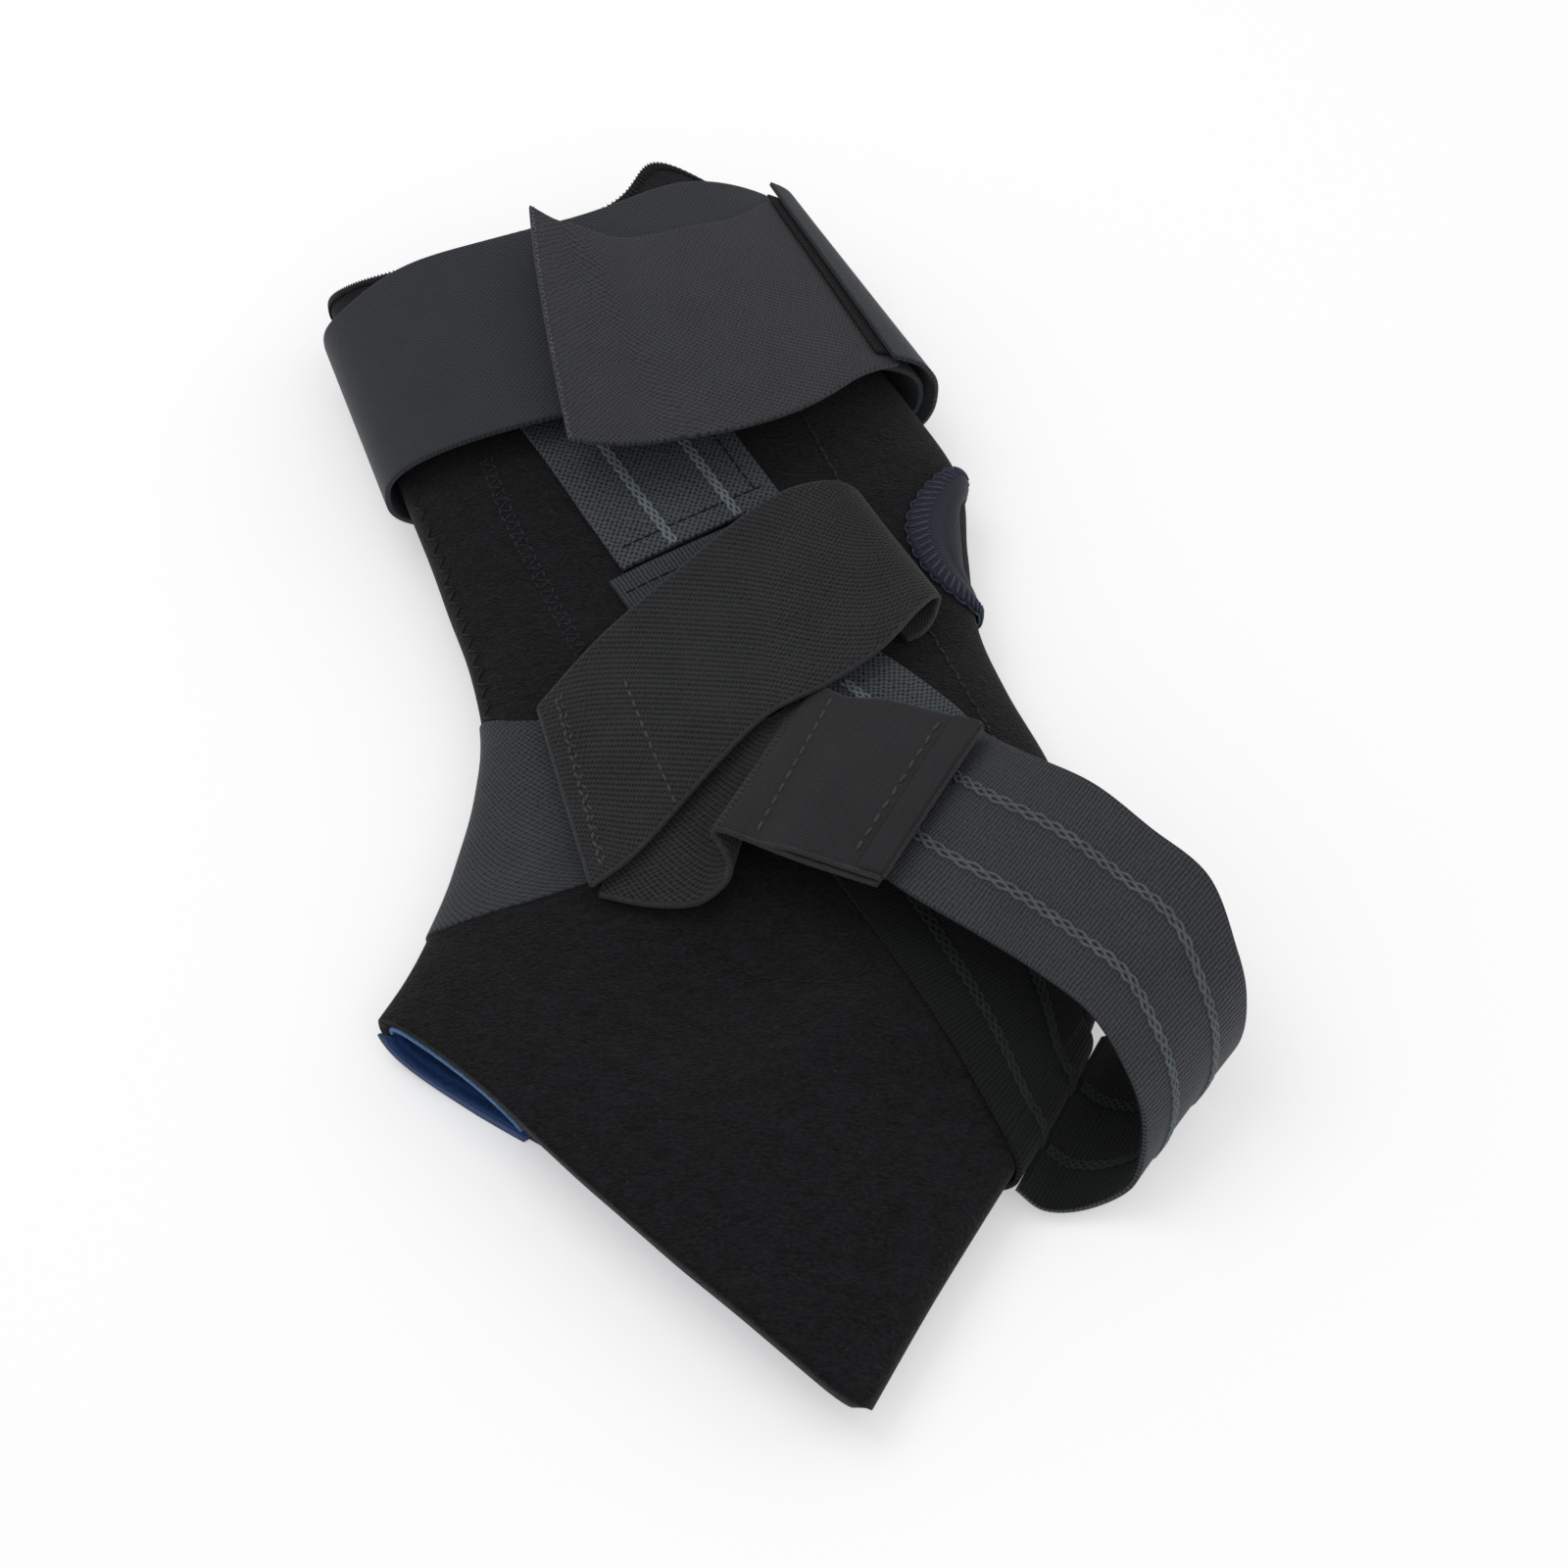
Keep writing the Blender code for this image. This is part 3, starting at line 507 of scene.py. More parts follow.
# Grosgrain tape: round ribs.
RIBBON_CLOTH = Cloth("grosgrain", Weave.CORD, "#1d2023", "#50555a", 0.85, 1.1, 0.55, 0.25, 0.74, 0.12, 0.10)
# Knitted elastic: staggered pits in rows along it.
ELASTIC_CLOTH = Cloth("knitted_elastic", Weave.HOLES, "#141516", "#3a3b3d", 1.30, 1.55, 0.66, 0.16, 0.82, 0.10, 0.18)
# Smooth-faced doubled end, with faint cords.
PATCH_CLOTH = Cloth("smooth_elastic_end", Weave.CORD, "#232326", "#303033", 0.7, 1.6, 0.55, 0.05, 0.68, 0.12, 0.35)
# Rolled selvedge of the elastic: denser, so a little lighter.
SELVEDGE_CLOTH = Cloth("elastic_selvedge", Weave.PLAIN, "#2e2f30", "#434446", 0.5, 0.5, 0.5, 0.03, 0.75, 0.12, 0.15)
# Spun polyester sewing thread.
BLACK_THREAD = Cloth("black_thread", Weave.PLAIN, "#101012", "#26272a", 0.5, 0.5, 0.5, 0.03, 0.65, 0.08, 0.10)
PILE_THREAD = Cloth("seam_thread", Weave.PLAIN, "#212124", "#404045", 0.5, 0.5, 0.5, 0.03, 0.70, 0.08, 0.30)
ELASTIC_THREAD = Cloth("elastic_thread", Weave.PLAIN, "#3c3c3e", "#555557", 0.5, 0.5, 0.5, 0.03, 0.65, 0.10, 0.20)
STRIPE_THREAD = Cloth("stripe_yarn", Weave.PLAIN, "#626a6f", "#8b9499", 0.5, 0.5, 0.5, 0.03, 0.65, 0.12, 0.15)
DULL_THREAD = Cloth("loop_stripe_yarn", Weave.PLAIN, "#4c5256", "#71797e", 0.5, 0.5, 0.5, 0.03, 0.65, 0.12, 0.15)
# Stripe yarn darkened as painted shade, for the stripes on the loop's inner face and on the stirrup.
SHADED_THREAD = Cloth("shade_darkened_stripe_yarn", Weave.PLAIN, "#1b1e20", "#2b2f31", 0.5, 0.5, 0.5, 0.03, 0.70, 0.08, 0.15)
NAVY_THREAD = Cloth("navy_thread", Weave.PLAIN, "#2c3242", "#4c566a", 0.5, 0.5, 0.5, 0.03, 0.60, 0.12, 0.15)
EDGE_THREAD = Cloth("flap_edge_thread", Weave.PLAIN, "#4a4a4c", "#7c7c80", 0.5, 0.5, 0.5, 0.03, 0.65, 0.10, 0.30)


def cloth_grid(columns: int, rows: int, surface: Surface, closed: bool = False) -> bmesh.types.BMesh:
    """Lay a flat grid onto a surface and give it a map in millimetres.

    Args:
        columns: Faces across.
        rows: Faces along.
        surface: Gives the point at a share across and a share along.
        closed: True where the two long sides meet, as on a tube.

    Returns:
        The mesh, one layer thick.
    """
    bm = bmesh.new()
    bmesh.ops.create_grid(bm, x_segments=columns, y_segments=rows, size=1.0)
    uv = bm.loops.layers.uv.new("UVMap")
    shares = {vert: ((vert.co.x + 1) / 2, (vert.co.y + 1) / 2) for vert in bm.verts}
    middle = [surface(0.5, row / rows) for row in range(rows + 1)]
    run = [0.0]
    for here, there in zip(middle, middle[1:]):
        run.append(run[-1] + (there - here).length)
    wide = [surface(column / columns, 0.5) for column in range(columns + 1)]
    span = sum((there - here).length for here, there in zip(wide, wide[1:]))
    for face in bm.faces:
        for loop in face.loops:
            across, along = shares[loop.vert]
            loop[uv].uv = (across * span * 1000, run[round(along * rows)] * 1000)
    for vert, (across, along) in shares.items():
        vert.co = surface(across, along) + PLACE
    if closed:
        bmesh.ops.remove_doubles(bm, verts=bm.verts, dist=0.00002)
    return bm


def point_up(bm: bmesh.types.BMesh, direction: Vector) -> None:
    """Turn a sheet's faces so that most look along a direction."""
    if sum((face.normal.dot(direction) * face.calc_area() for face in bm.faces)) < 0:
        bmesh.ops.reverse_faces(bm, faces=bm.faces)


def make_piece(name: str, bm: bmesh.types.BMesh, cloth: Cloth, nodes: Sequence[str] = ()) -> bpy.types.Object:
    """Turn a mesh into a piece of the object.

    Args:
        name: The piece's name.
        bm: Its mesh, which is freed.
        cloth: Its finish.
        nodes: The solids that it stands for.

    Returns:
        The object.
    """
    mesh = bpy.data.meshes.new(name)
    bm.to_mesh(mesh)
    bm.free()
    mesh.shade_smooth()
    mesh.materials.append(cloth.make())
    piece = bpy.data.objects.new(name, mesh)
    bpy.context.scene.collection.objects.link(piece)
    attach(piece, "root")
    if nodes:
        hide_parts(*nodes)
    LOG.info("%s: %d faces", name, len(mesh.polygons))
    return piece


def thicken(piece: bpy.types.Object, wall: float, offset: float = 1.0, round_off: float = 0.0002) -> None:
    """Give a one-layer sheet its thickness and soft edges.

    Args:
        piece: The sheet.
        wall: Its thickness.
        offset: 1 to grow along the normals, -1 against them, 0 to both sides.
        round_off: Radius of the edges, 0 for none.
    """
    solid = piece.modifiers.new("wall", "SOLIDIFY")
    solid.thickness = wall
    solid.offset = offset
    solid.use_even_offset = False
    if round_off:
        bevel = piece.modifiers.new("edge", "BEVEL")
        bevel.width = round_off
        bevel.segments = 2
        bevel.limit_method = "ANGLE"
        bevel.angle_limit = math.radians(55)


def declare_sheet(piece: bpy.types.Object) -> None:
    """Say what a sheet of cloth measures flat, from its own one-layer mesh.

    Args:
        piece: The sheet, before its thickness is applied.
    """
    mesh = piece.data
    area = sum(face.area for face in mesh.polygons)
    spots = [loop.uv for loop in mesh.uv_layers[0].data]
    width = max(spot.x for spot in spots) / 1000
    length = max(area / width, 0.010)
    LOG.info("%s: cut %.0f x %.0f mm", piece.name, width * 1000, length * 1000)


def lay_stitches(bm: bmesh.types.BMesh, path: Sequence[Vector], normals: Sequence[Vector], stitch: float, gap: float,
                 radius: float, swing: float = 0.0) -> None:
    """Add a row of sewn stitches along a path.

    Args:
        bm: The mesh that receives them.
        path: Points that the row follows, in the object's place.
        normals: The cloth's normal at each of them.
        stitch: Length of a stitch.
        gap: Space between two stitches, below 0 where they overlap.
        radius: Radius of the thread.
        swing: Degrees that the stitches lean, in turn to each side.
    """
    lengths = [0.0]
    for here, there in zip(path, path[1:]):
        lengths.append(lengths[-1] + (there - here).length)
    count = max(int(lengths[-1] / (stitch + gap)), 1)
    index = 0
    for number in range(count):
        at = (number + 0.5) * lengths[-1] / count
        while index < len(lengths) - 2 and lengths[index + 1] < at:
            index += 1
        share = (at - lengths[index]) / max(lengths[index + 1] - lengths[index], 1e-9)
        middle = path[index].lerp(path[index + 1], share)
        along = (path[index + 1] - path[index]).normalized()
        side = normals[index].cross(along).normalized()
        normal = along.cross(side).normalized()
        lean = math.radians(swing if number % 2 else -swing)
        along, side = along * math.cos(lean) + side * math.sin(lean), side * math.cos(lean) - along * math.sin(lean)
        turn = Matrix((along, side, normal)).transposed().to_4x4()
        size = Matrix.Diagonal((stitch / 2, radius, radius, 1.0))
        bmesh.ops.create_uvsphere(
            bm, u_segments=8, v_segments=5, radius=1.0, matrix=Matrix.Translation(middle) @ turn @ size
            @ Matrix.Rotation(math.pi / 2, 4, "Y"))


def lay_cord(bm: bmesh.types.BMesh, path: Sequence[Vector], radius: float, sides: int = 6) -> None:
    """Add a round cord along a path, closed at both ends.

    Args:
        bm: The mesh that receives it.
        path: Its middle line.
        radius: Its radius.
        sides: Faces round it.
    """
    rings = []
    side = Vector((0.31, 0.17, 0.93))
    for number, spot in enumerate(path):
        along = (path[min(number + 1, len(path) - 1)] - path[max(number - 1, 0)]).normalized()
        side = (side - along * side.dot(along)).normalized()
        turn = Matrix((side, along.cross(side), along)).transposed().to_4x4()
        made = bmesh.ops.create_circle(
            bm, cap_ends=number in (0, len(path) - 1), segments=sides, radius=radius,
            matrix=Matrix.Translation(spot) @ turn)
        rings.append(made["verts"])
    for low, high in zip(rings, rings[1:]):
        for number in range(sides):
            after = (number + 1) % sides
            bm.faces.new((low[number], low[after], high[after], high[number]))


@dataclass
class Laid:
    """The lower face of a cloth, its thickness and the side that looks out."""

    surface: Surface
    wall: float
    facing: Vector = field(default_factory=lambda: Vector((0.0, 0.0, 1.0)))
    sign: float = field(default=1.0, init=False)

    def __post_init__(self) -> None:
        """Find which side of the surface is the face."""
        if self.normal(0.5, 0.02).dot(self.facing) < 0:
            self.sign = -1.0

    def normal(self, across: float, along: float) -> Vector:
        """Direction out of the face at a share across and along."""
        across, along = min(max(across, 0.01), 0.99), min(max(along, 0.004), 0.996)
        side = self.surface(across + 0.01, along) - self.surface(across - 0.01, along)
        run = self.surface(across, along + 0.004) - self.surface(across, along - 0.004)
        return side.cross(run).normalized() * self.sign

    def spot(self, across: float, along: float, lift: float) -> Vector:
        """Point `lift` metres above the face, in the object's place."""
        return self.surface(across, along) + self.normal(across, along) * (self.wall + lift) + PLACE

    def path(self, spots: Sequence[Row], steps: int, lift: float = 0.0) -> tuple[list[Vector], list[Vector]]:
        """A smooth line on the face with its normals.

        Args:
            spots: Shares across and along that it passes.
            steps: How many parts it has.
            lift: Height above the face.

        Returns:
            Its points in the object's place and the normals there.
        """
        shares = smooth_path(spots, steps)
        return [self.spot(*pair, lift) for pair in shares], [self.normal(*pair) for pair in shares]

    def length(self) -> float:
        """Length along the middle."""
        line = [self.surface(0.5, step / 60) for step in range(61)]
        return sum((b - a).length for a, b in zip(line, line[1:]))

    def width(self) -> float:
        """Width at the middle."""
        return (self.surface(0.0, 0.5) - self.surface(1.0, 0.5)).length


def smooth_path(points: Sequence[Row], steps: int) -> list[list[float]]:
    """Points on a smooth curve through a few chosen ones."""
    last = len(points) - 1
    return [smooth_row(points, last * step / steps) for step in range(steps + 1)]


@dataclass
class Sleeve:
    """The padded boot tube with its lining, vent and instep panel."""

    columns: int = 150
    rows: int = 190
    tree: BVHTree | None = field(default=None, init=False)

    def relief(self, point: Vector, lift: float) -> float:
        """Depth of the dents and soft creases at a point on top.

        Args:
            point: A point of the surface in the tables' place.
            lift: Share of the section's height, 1 on the crown.

        Returns:
            Depth to take off the height.
        """
        depth = 0.0
        for x, y, radius, share in SLEEVE_DENTS:
            gap = math.hypot(point.x - x * BRACE_HEIGHT, point.y - y * BRACE_HEIGHT) / (radius * BRACE_HEIGHT)
            depth += share * REST_HEIGHT * math.exp(-gap * gap)
        soft = noise.noise(Vector((point.x * 38, point.y * 38, 0.3))) * 0.0004
        fine = noise.noise(Vector((point.x * 120, point.y * 120, 2.1))) * 0.00012
        return (depth + soft + fine) * max(lift, 0.0)

    def surface(self, place: float, angle: float, out: float) -> Vector:
        """Point of the sleeve's outer face, `out` metres outside it."""
        last = len(SLEEVE_SECTIONS) - 1
        leg_reach, foot_reach = around_row(OPENING_ROWS, angle)
        if place < EDGE_SECTIONS:
            swing = (angle - FOLD_ANGLE) / FOLD_SPREAD
            reach = leg_reach * BRACE_HEIGHT + TOP_EDGE_RISE * math.exp(-swing * swing)
            place -= reach / section_pitch(SLEEVE_SECTIONS, 0) * (1.0 - place / EDGE_SECTIONS)
        elif place > last - EDGE_SECTIONS:
            reach = foot_reach * BRACE_HEIGHT
            place += reach / section_pitch(SLEEVE_SECTIONS, last - 1) * (1.0 - (last - place) / EDGE_SECTIONS)
        point = section_point(SLEEVE_SECTIONS, place, angle, out)
        point.z -= self.relief(point, math.sin(math.radians(angle)))
        return point

    def around(self, out: float) -> Surface:
        """The whole tube as a surface, from the leg opening to the foot opening."""
        last = len(SLEEVE_SECTIONS) - 1
        return lambda across, along: self.surface(along * last, across * 360.0, out)

    def inside(self, across: float, along: float) -> Vector:
        """The lining's surface, which ends short of the foam except round the toe corner."""
        angle = across * 360.0
        short = 0.25 * (1.0 - soft_step(95.0, 120.0, angle) * soft_step(260.0, 225.0, angle))
        last = len(SLEEVE_SECTIONS) - 1
        if along > 0.985 and 188.0 < angle < 252.0:
            # At the toe corner the tricot rolls over the foam's lower lip.
            return self.surface(last + 0.03, angle, -0.0001 if along > 0.999 else -SLEEVE_WALL - CLEARANCE)
        return self.surface(along * (last - short), angle, -SLEEVE_WALL - CLEARANCE)

    def ground(self, x: float, y: float) -> float:
        """Height of the sleeve's top under a place in the tables' plan."""
        hit = self.tree.ray_cast(Vector((x, y, 1.0)) + PLACE, Vector((0, 0, -1)))
        return hit[0].z if hit[0] else 0.0

    def normal(self, point: Vector) -> Vector:
        """Direction out of the sleeve nearest a point."""
        found = self.tree.find_nearest(point)
        return found[1] if found[1] and found[1].z > 0 else Vector((0, 0, 1))

    def build(self) -> None:
        """Make the sleeve and all that is sewn to it."""
        bm = cloth_grid(self.columns, self.rows, self.around(0.0), closed=True)
        bmesh.ops.recalc_face_normals(bm, faces=bm.faces)
        centre = Vector((0.0, 0.0, 0.0))
        for face in bm.faces:
            centre += face.calc_center_median() / len(bm.faces)
        if sum((face.calc_center_median() - centre).dot(face.normal) for face in bm.faces) < 0:
            bmesh.ops.reverse_faces(bm, faces=bm.faces)
        self.tree = BVHTree.FromBMesh(bm)
        cutter = self.vent_cutter()
        sleeve = make_piece("sleeve_shell", bm, SLEEVE_CLOTH, ("sleeve",))
        thicken(sleeve, SLEEVE_WALL, -1.0, 0.0)
        skin = cloth_grid(self.columns, self.rows // 2, self.inside, closed=True)
        bmesh.ops.recalc_face_normals(skin, faces=skin.faces)
        lining = make_piece("lining_skin", skin, LINING_CLOTH, ("lining",))
        thicken(lining, LINING_WALL, -1.0, 0.0)
        for piece in (sleeve, lining):
            bite = piece.modifiers.new("vent", "BOOLEAN")
            bite.operation = "DIFFERENCE"
            bite.solver = "EXACT"
            bite.object = cutter
            self.apply(piece)
        bpy.data.objects.remove(cutter, do_unlink=True)
        self.bind_vent()
        self.lay_panel()
        self.sew()

    def apply(self, piece: bpy.types.Object) -> None:
        """Apply a piece's modifiers to its mesh."""
        deps = bpy.context.evaluated_depsgraph_get()
        mesh = bpy.data.meshes.new_from_object(piece.evaluated_get(deps))
        old = piece.data
        piece.modifiers.clear()
        piece.data = mesh
        bpy.data.meshes.remove(old)

    def vent_cutter(self) -> bpy.types.Object:
        """Upright oval post that bites the vent out of the rear fold.

        Returns:
            The cutter, which the caller removes.
        """
        edge = self.surface(VENT_SECTION, 0.0, 0.0)
        along = (self.surface(VENT_SECTION + 0.5, 0.0, 0.0) - self.surface(VENT_SECTION - 0.5, 0.0, 0.0)).normalized()
        outward = Vector((-along.y, along.x, 0.0)).normalized()
        top = self.surface(VENT_SECTION, 90.0, 0.0).z
        bm = bmesh.new()
        bmesh.ops.create_cone(bm, cap_ends=True, segments=64, radius1=1.0, radius2=1.0, depth=0.2)
        for vert in bm.verts:
            x = vert.co.x * 2 * VENT_DEPTH + VENT_DEPTH - VENT_SLOPE * (top - vert.co.z)
            y = vert.co.y * VENT_LENGTH / math.sqrt(3.0)
            vert.co.x = edge.x + PLACE.x + outward.x * x + along.x * y
            vert.co.y = edge.y + PLACE.y + outward.y * x + along.y * y
        bmesh.ops.recalc_face_normals(bm, faces=bm.faces)
        mesh = bpy.data.meshes.new("vent_cutter")
        bm.to_mesh(mesh)
        bm.free()
        cutter = bpy.data.objects.new("vent_cutter", mesh)
        bpy.context.scene.collection.objects.link(cutter)
        return cutter

    def vent_spot(self, turn: float, reach: float, out: float) -> Vector:
        """Point round the vent, `reach` metres back from its cut edge and `out` metres outside the sleeve."""
        pitch = (self.surface(VENT_SECTION + 0.5, 0, 0) - self.surface(VENT_SECTION - 0.5, 0, 0)).length
        half = (self.surface(VENT_SECTION, 0, 0) - self.surface(VENT_SECTION, 180, 0)).length / 2
        drop = self.surface(VENT_SECTION, 90.0, 0.0).z - self.surface(VENT_SECTION, 0.0, 0.0).z
        inset = (VENT_DEPTH - VENT_SLOPE * drop) / (2 * VENT_DEPTH)
        half_length = VENT_LENGTH / math.sqrt(3.0) * math.sqrt(1.0 - inset * inset)
        depth = VENT_DEPTH + VENT_SLOPE * drop * (1.0 - math.sin(turn))
        place = VENT_SECTION + (half_length + CLEARANCE + reach) / pitch * math.cos(turn)
        side = 1.0 - (depth + CLEARANCE + reach) / half
        angle = math.degrees(math.acos(side ** (1.0 / ROUNDNESS))) * math.sin(turn)
        return self.surface(place, angle, out)

    def bind_vent(self) -> None:
        """Stretch tape sewn over the vent with a ladder of slanted stitches."""

        def reach(turn: float) -> float:
            return BINDING_WIDTH * (0.45 + 0.55 * abs(math.sin(turn)) ** 0.7)

        def fold(across: float, along: float) -> Vector:
            turn = along * 2 * math.pi
            if across < 0.6:
                puff = 0.0006 * math.sin(across / 0.6 * math.pi)
                return self.vent_spot(turn, reach(turn) * (1 - across / 0.6), SEAT + puff)
            inward = (across - 0.6) / 0.4
            width = 0.0012 + 0.0048 * max(math.sin(turn), 0.0) ** 0.5
            return self.vent_spot(turn, -0.0001 - width * inward, SEAT - 0.0016 * inward * inward)

        bm = cloth_grid(20, 120, fold)
        bmesh.ops.remove_doubles(bm, verts=bm.verts, dist=0.00002)
        point_up(bm, Vector((0.6, 0.0, 1.0)))
        tape = make_piece("vent_tape", bm, BINDING_CLOTH, ("vent_binding",))
        thicken(tape, BINDING_WALL * 0.6, 1.0, 0.0)
        rows = bmesh.new()
        lift = SEAT + BINDING_WALL * 0.6
        for step in range(68):
            turn = (step + 0.5) / 68 * 2 * math.pi
            outer = self.vent_spot(turn - 0.03, reach(turn) + 0.0004, lift + 0.0003) + PLACE
            inner = self.vent_spot(turn + 0.05, reach(turn) * 0.54, lift + 0.0009) + PLACE
            up = self.normal(outer)
            lay_stitches(rows, [outer, inner], [up, up], (outer - inner).length, 0.0, 0.00034)
        ring = [self.vent_spot(step / 160 * 2 * math.pi, reach(step / 160 * 2 * math.pi) + 0.0004, lift - 0.0003) + PLACE
                for step in range(161)]
        lay_stitches(rows, ring, [self.normal(spot) for spot in ring], 0.0022, -0.0004, 0.00024, 20)
        make_piece("vent_stitches", rows, NAVY_THREAD)

    def lay_panel(self) -> None:
        """The grey knit panel wrapped round the front of the ankle."""

        def wrap(across: float, along: float) -> Vector:
            angle, top, bottom = smooth_row(PANEL_ROWS, across * (len(PANEL_ROWS) - 1))
            return self.surface(top + (bottom - top) * along, angle, SEAT)

        bm = cloth_grid(48, 64, wrap)
        point_up(bm, Vector((-0.4, 0.0, 1.0)))
        panel = make_piece("instep_knit", bm, PANEL_CLOTH, ("instep_panel",))
        declare_sheet(panel)
        thicken(panel, PANEL_WALL)

    def sew(self) -> None:
        """Seam rows, the overlocked leg edge and the pale cut edge at the toe corner."""
        pale = bmesh.new()
        dark = bmesh.new()
        for rows, seam, side, stitch, gap, radius, swing in (
            (pale, FRONT_SEAM, -0.0011, 0.0017, 0.0006, 0.00022, 12),
            (pale, FRONT_SEAM, 0.0000, 0.0024, -0.0008, 0.00018, 62),
            (pale, FRONT_SEAM, 0.0011, 0.0017, 0.0006, 0.00022, 12),
            (pale, REAR_SEAM, 0.0000, 0.0021, 0.0003, 0.00032, 14),
            (dark, ANKLE_SEAM, 0.0000, 0.0024, 0.0010, 0.00028, 0),
        ):
            path = []
            for x, y in smooth_path(seam, 60):
                x, y = x * BRACE_HEIGHT + side, y * BRACE_HEIGHT + side * 0.4
                path.append(Vector((x, y, self.ground(x, y) + 0.0001)) + PLACE)
            lay_stitches(rows, path, [self.normal(spot) for spot in path], stitch, gap, radius, swing)
        front = [self.surface(2.9 + 4.4 * step / 80, 163.0, 0.0002) + PLACE for step in range(81)]
        lay_stitches(dark, front, [self.normal(spot) for spot in front], 0.0030, -0.0008, 0.00025, 48)
        make_piece("sleeve_seams", dark, BLACK_THREAD)
        make_piece("sleeve_chains", pale, PILE_THREAD)
        edge = bmesh.new()
        for step in range(230):
            angle = step / 230 * 360.0
            inner = self.surface(0.13, angle, 0.0003) + PLACE
            lip = self.surface(-0.02, angle + 0.5, 0.0001) + PLACE
            up = self.normal(inner)
            lay_stitches(edge, [inner, lip], [up, up], (inner - lip).length, 0.0, 0.00030)
        make_piece("leg_overlock", edge, BLACK_THREAD)
        cut = bmesh.new()
        last = len(SLEEVE_SECTIONS) - 1
        path = []
        for step in range(121):
            angle = 107.0 + 72.0 * step / 120
            tuck = 0.0011 * abs(step / 60 - 1.0) ** 8
            wave = noise.noise(Vector((angle * 0.4, 0.0, 0.0))) * 0.0003
            path.append(self.surface(last - 0.006, angle, -SLEEVE_WALL * 0.96 - tuck + wave) + PLACE)
        lay_cord(cut, path, 0.00040)
        make_piece("cut_edge", cut, CUT_CLOTH)


@dataclass
class LegBand:
    """The band round the leg with its flap, hook tape and tab."""

    sleeve: Sleeve

    def surface(self, run: float, angle: float, out: float) -> Vector:
        """Point of the band's outer face."""
        last = len(BAND_SECTIONS) - 1
        length = sum(section_pitch(BAND_SECTIONS, index) for index in range(last))
        reach = around_row(BAND_EDGE_ROWS, angle)[0] * BRACE_HEIGHT
        point = section_point(BAND_SECTIONS, (run - reach / length * (1.0 - run)) * last, angle, out)
        top = max(math.sin(math.radians(angle)), 0.0)
        point.z += noise.noise(Vector((point.x * 30, point.y * 30, 5.0))) * 0.0004 * top
        return point

    def rows_surface(self, table: Sequence[Row]) -> Surface:
        """A patch on the band, from a table of its rows."""

        def place(across: float, along: float) -> Vector:
            row = smooth_row(table, along * (len(table) - 1))
            far_angle, near_angle, far_run, near_run, far_lift, near_lift = row
            angle = far_angle + (near_angle - far_angle) * across
            run = far_run + (near_run - far_run) * across
            lift = (far_lift + (near_lift - far_lift) * across) * REST_HEIGHT
            return self.surface(run, angle, lift)

        return place

    def build(self) -> None:
        """Make the band and what is on it."""
        bm = cloth_grid(160, 60, lambda across, along: self.surface(along, across * 360.0, 0.0), closed=True)
        bmesh.ops.recalc_face_normals(bm, faces=bm.faces)
        band = make_piece("leg_band", bm, BAND_CLOTH, ("top_band",))
        declare_sheet(band)
        thicken(band, BAND_WALL, -1.0)
        flap_surface = self.rows_surface(FLAP_ROWS)
        bm = cloth_grid(60, 90, flap_surface)
        point_up(bm, Vector((0, 0, 1)))
        flap = make_piece("flap_cloth", bm, FLAP_CLOTH, ("band_flap",))
        declare_sheet(flap)
        thicken(flap, FLAP_WALL)
        self.trim_flap(flap_surface)
        bm = cloth_grid(50, 8, self.rows_surface(TAPE_ROWS))
        point_up(bm, Vector((0, 0, 1)))
        tape = make_piece("hook_strip", bm, HOOK_CLOTH, ("hook_tape",))
        declare_sheet(tape)
        thicken(tape, TAPE_WALL)
        tab_surface = self.rows_surface(TAB_ROWS)
        bm = cloth_grid(60, 48, tab_surface)
        point_up(bm, Vector((0.7, 0, 1)))
        tab = make_piece("tab_cloth", bm, BAND_CLOTH, ("band_tab",))
        declare_sheet(tab)
        thicken(tab, FLAP_WALL)

    def trim_flap(self, surface: Surface) -> None:
        """Overlock loops along the flap's lifted edge."""
        rows = bmesh.new()
        laid = Laid(surface, FLAP_WALL)
        path, normals = laid.path(((0.0, 0.008), (0.5, 0.008), (1.0, 0.008)), 120, 0.00002)
        lay_stitches(rows, path, normals, 0.0013, 0.0001, 0.00022, 35)
        make_piece("flap_edge_stitches", rows, EDGE_THREAD)


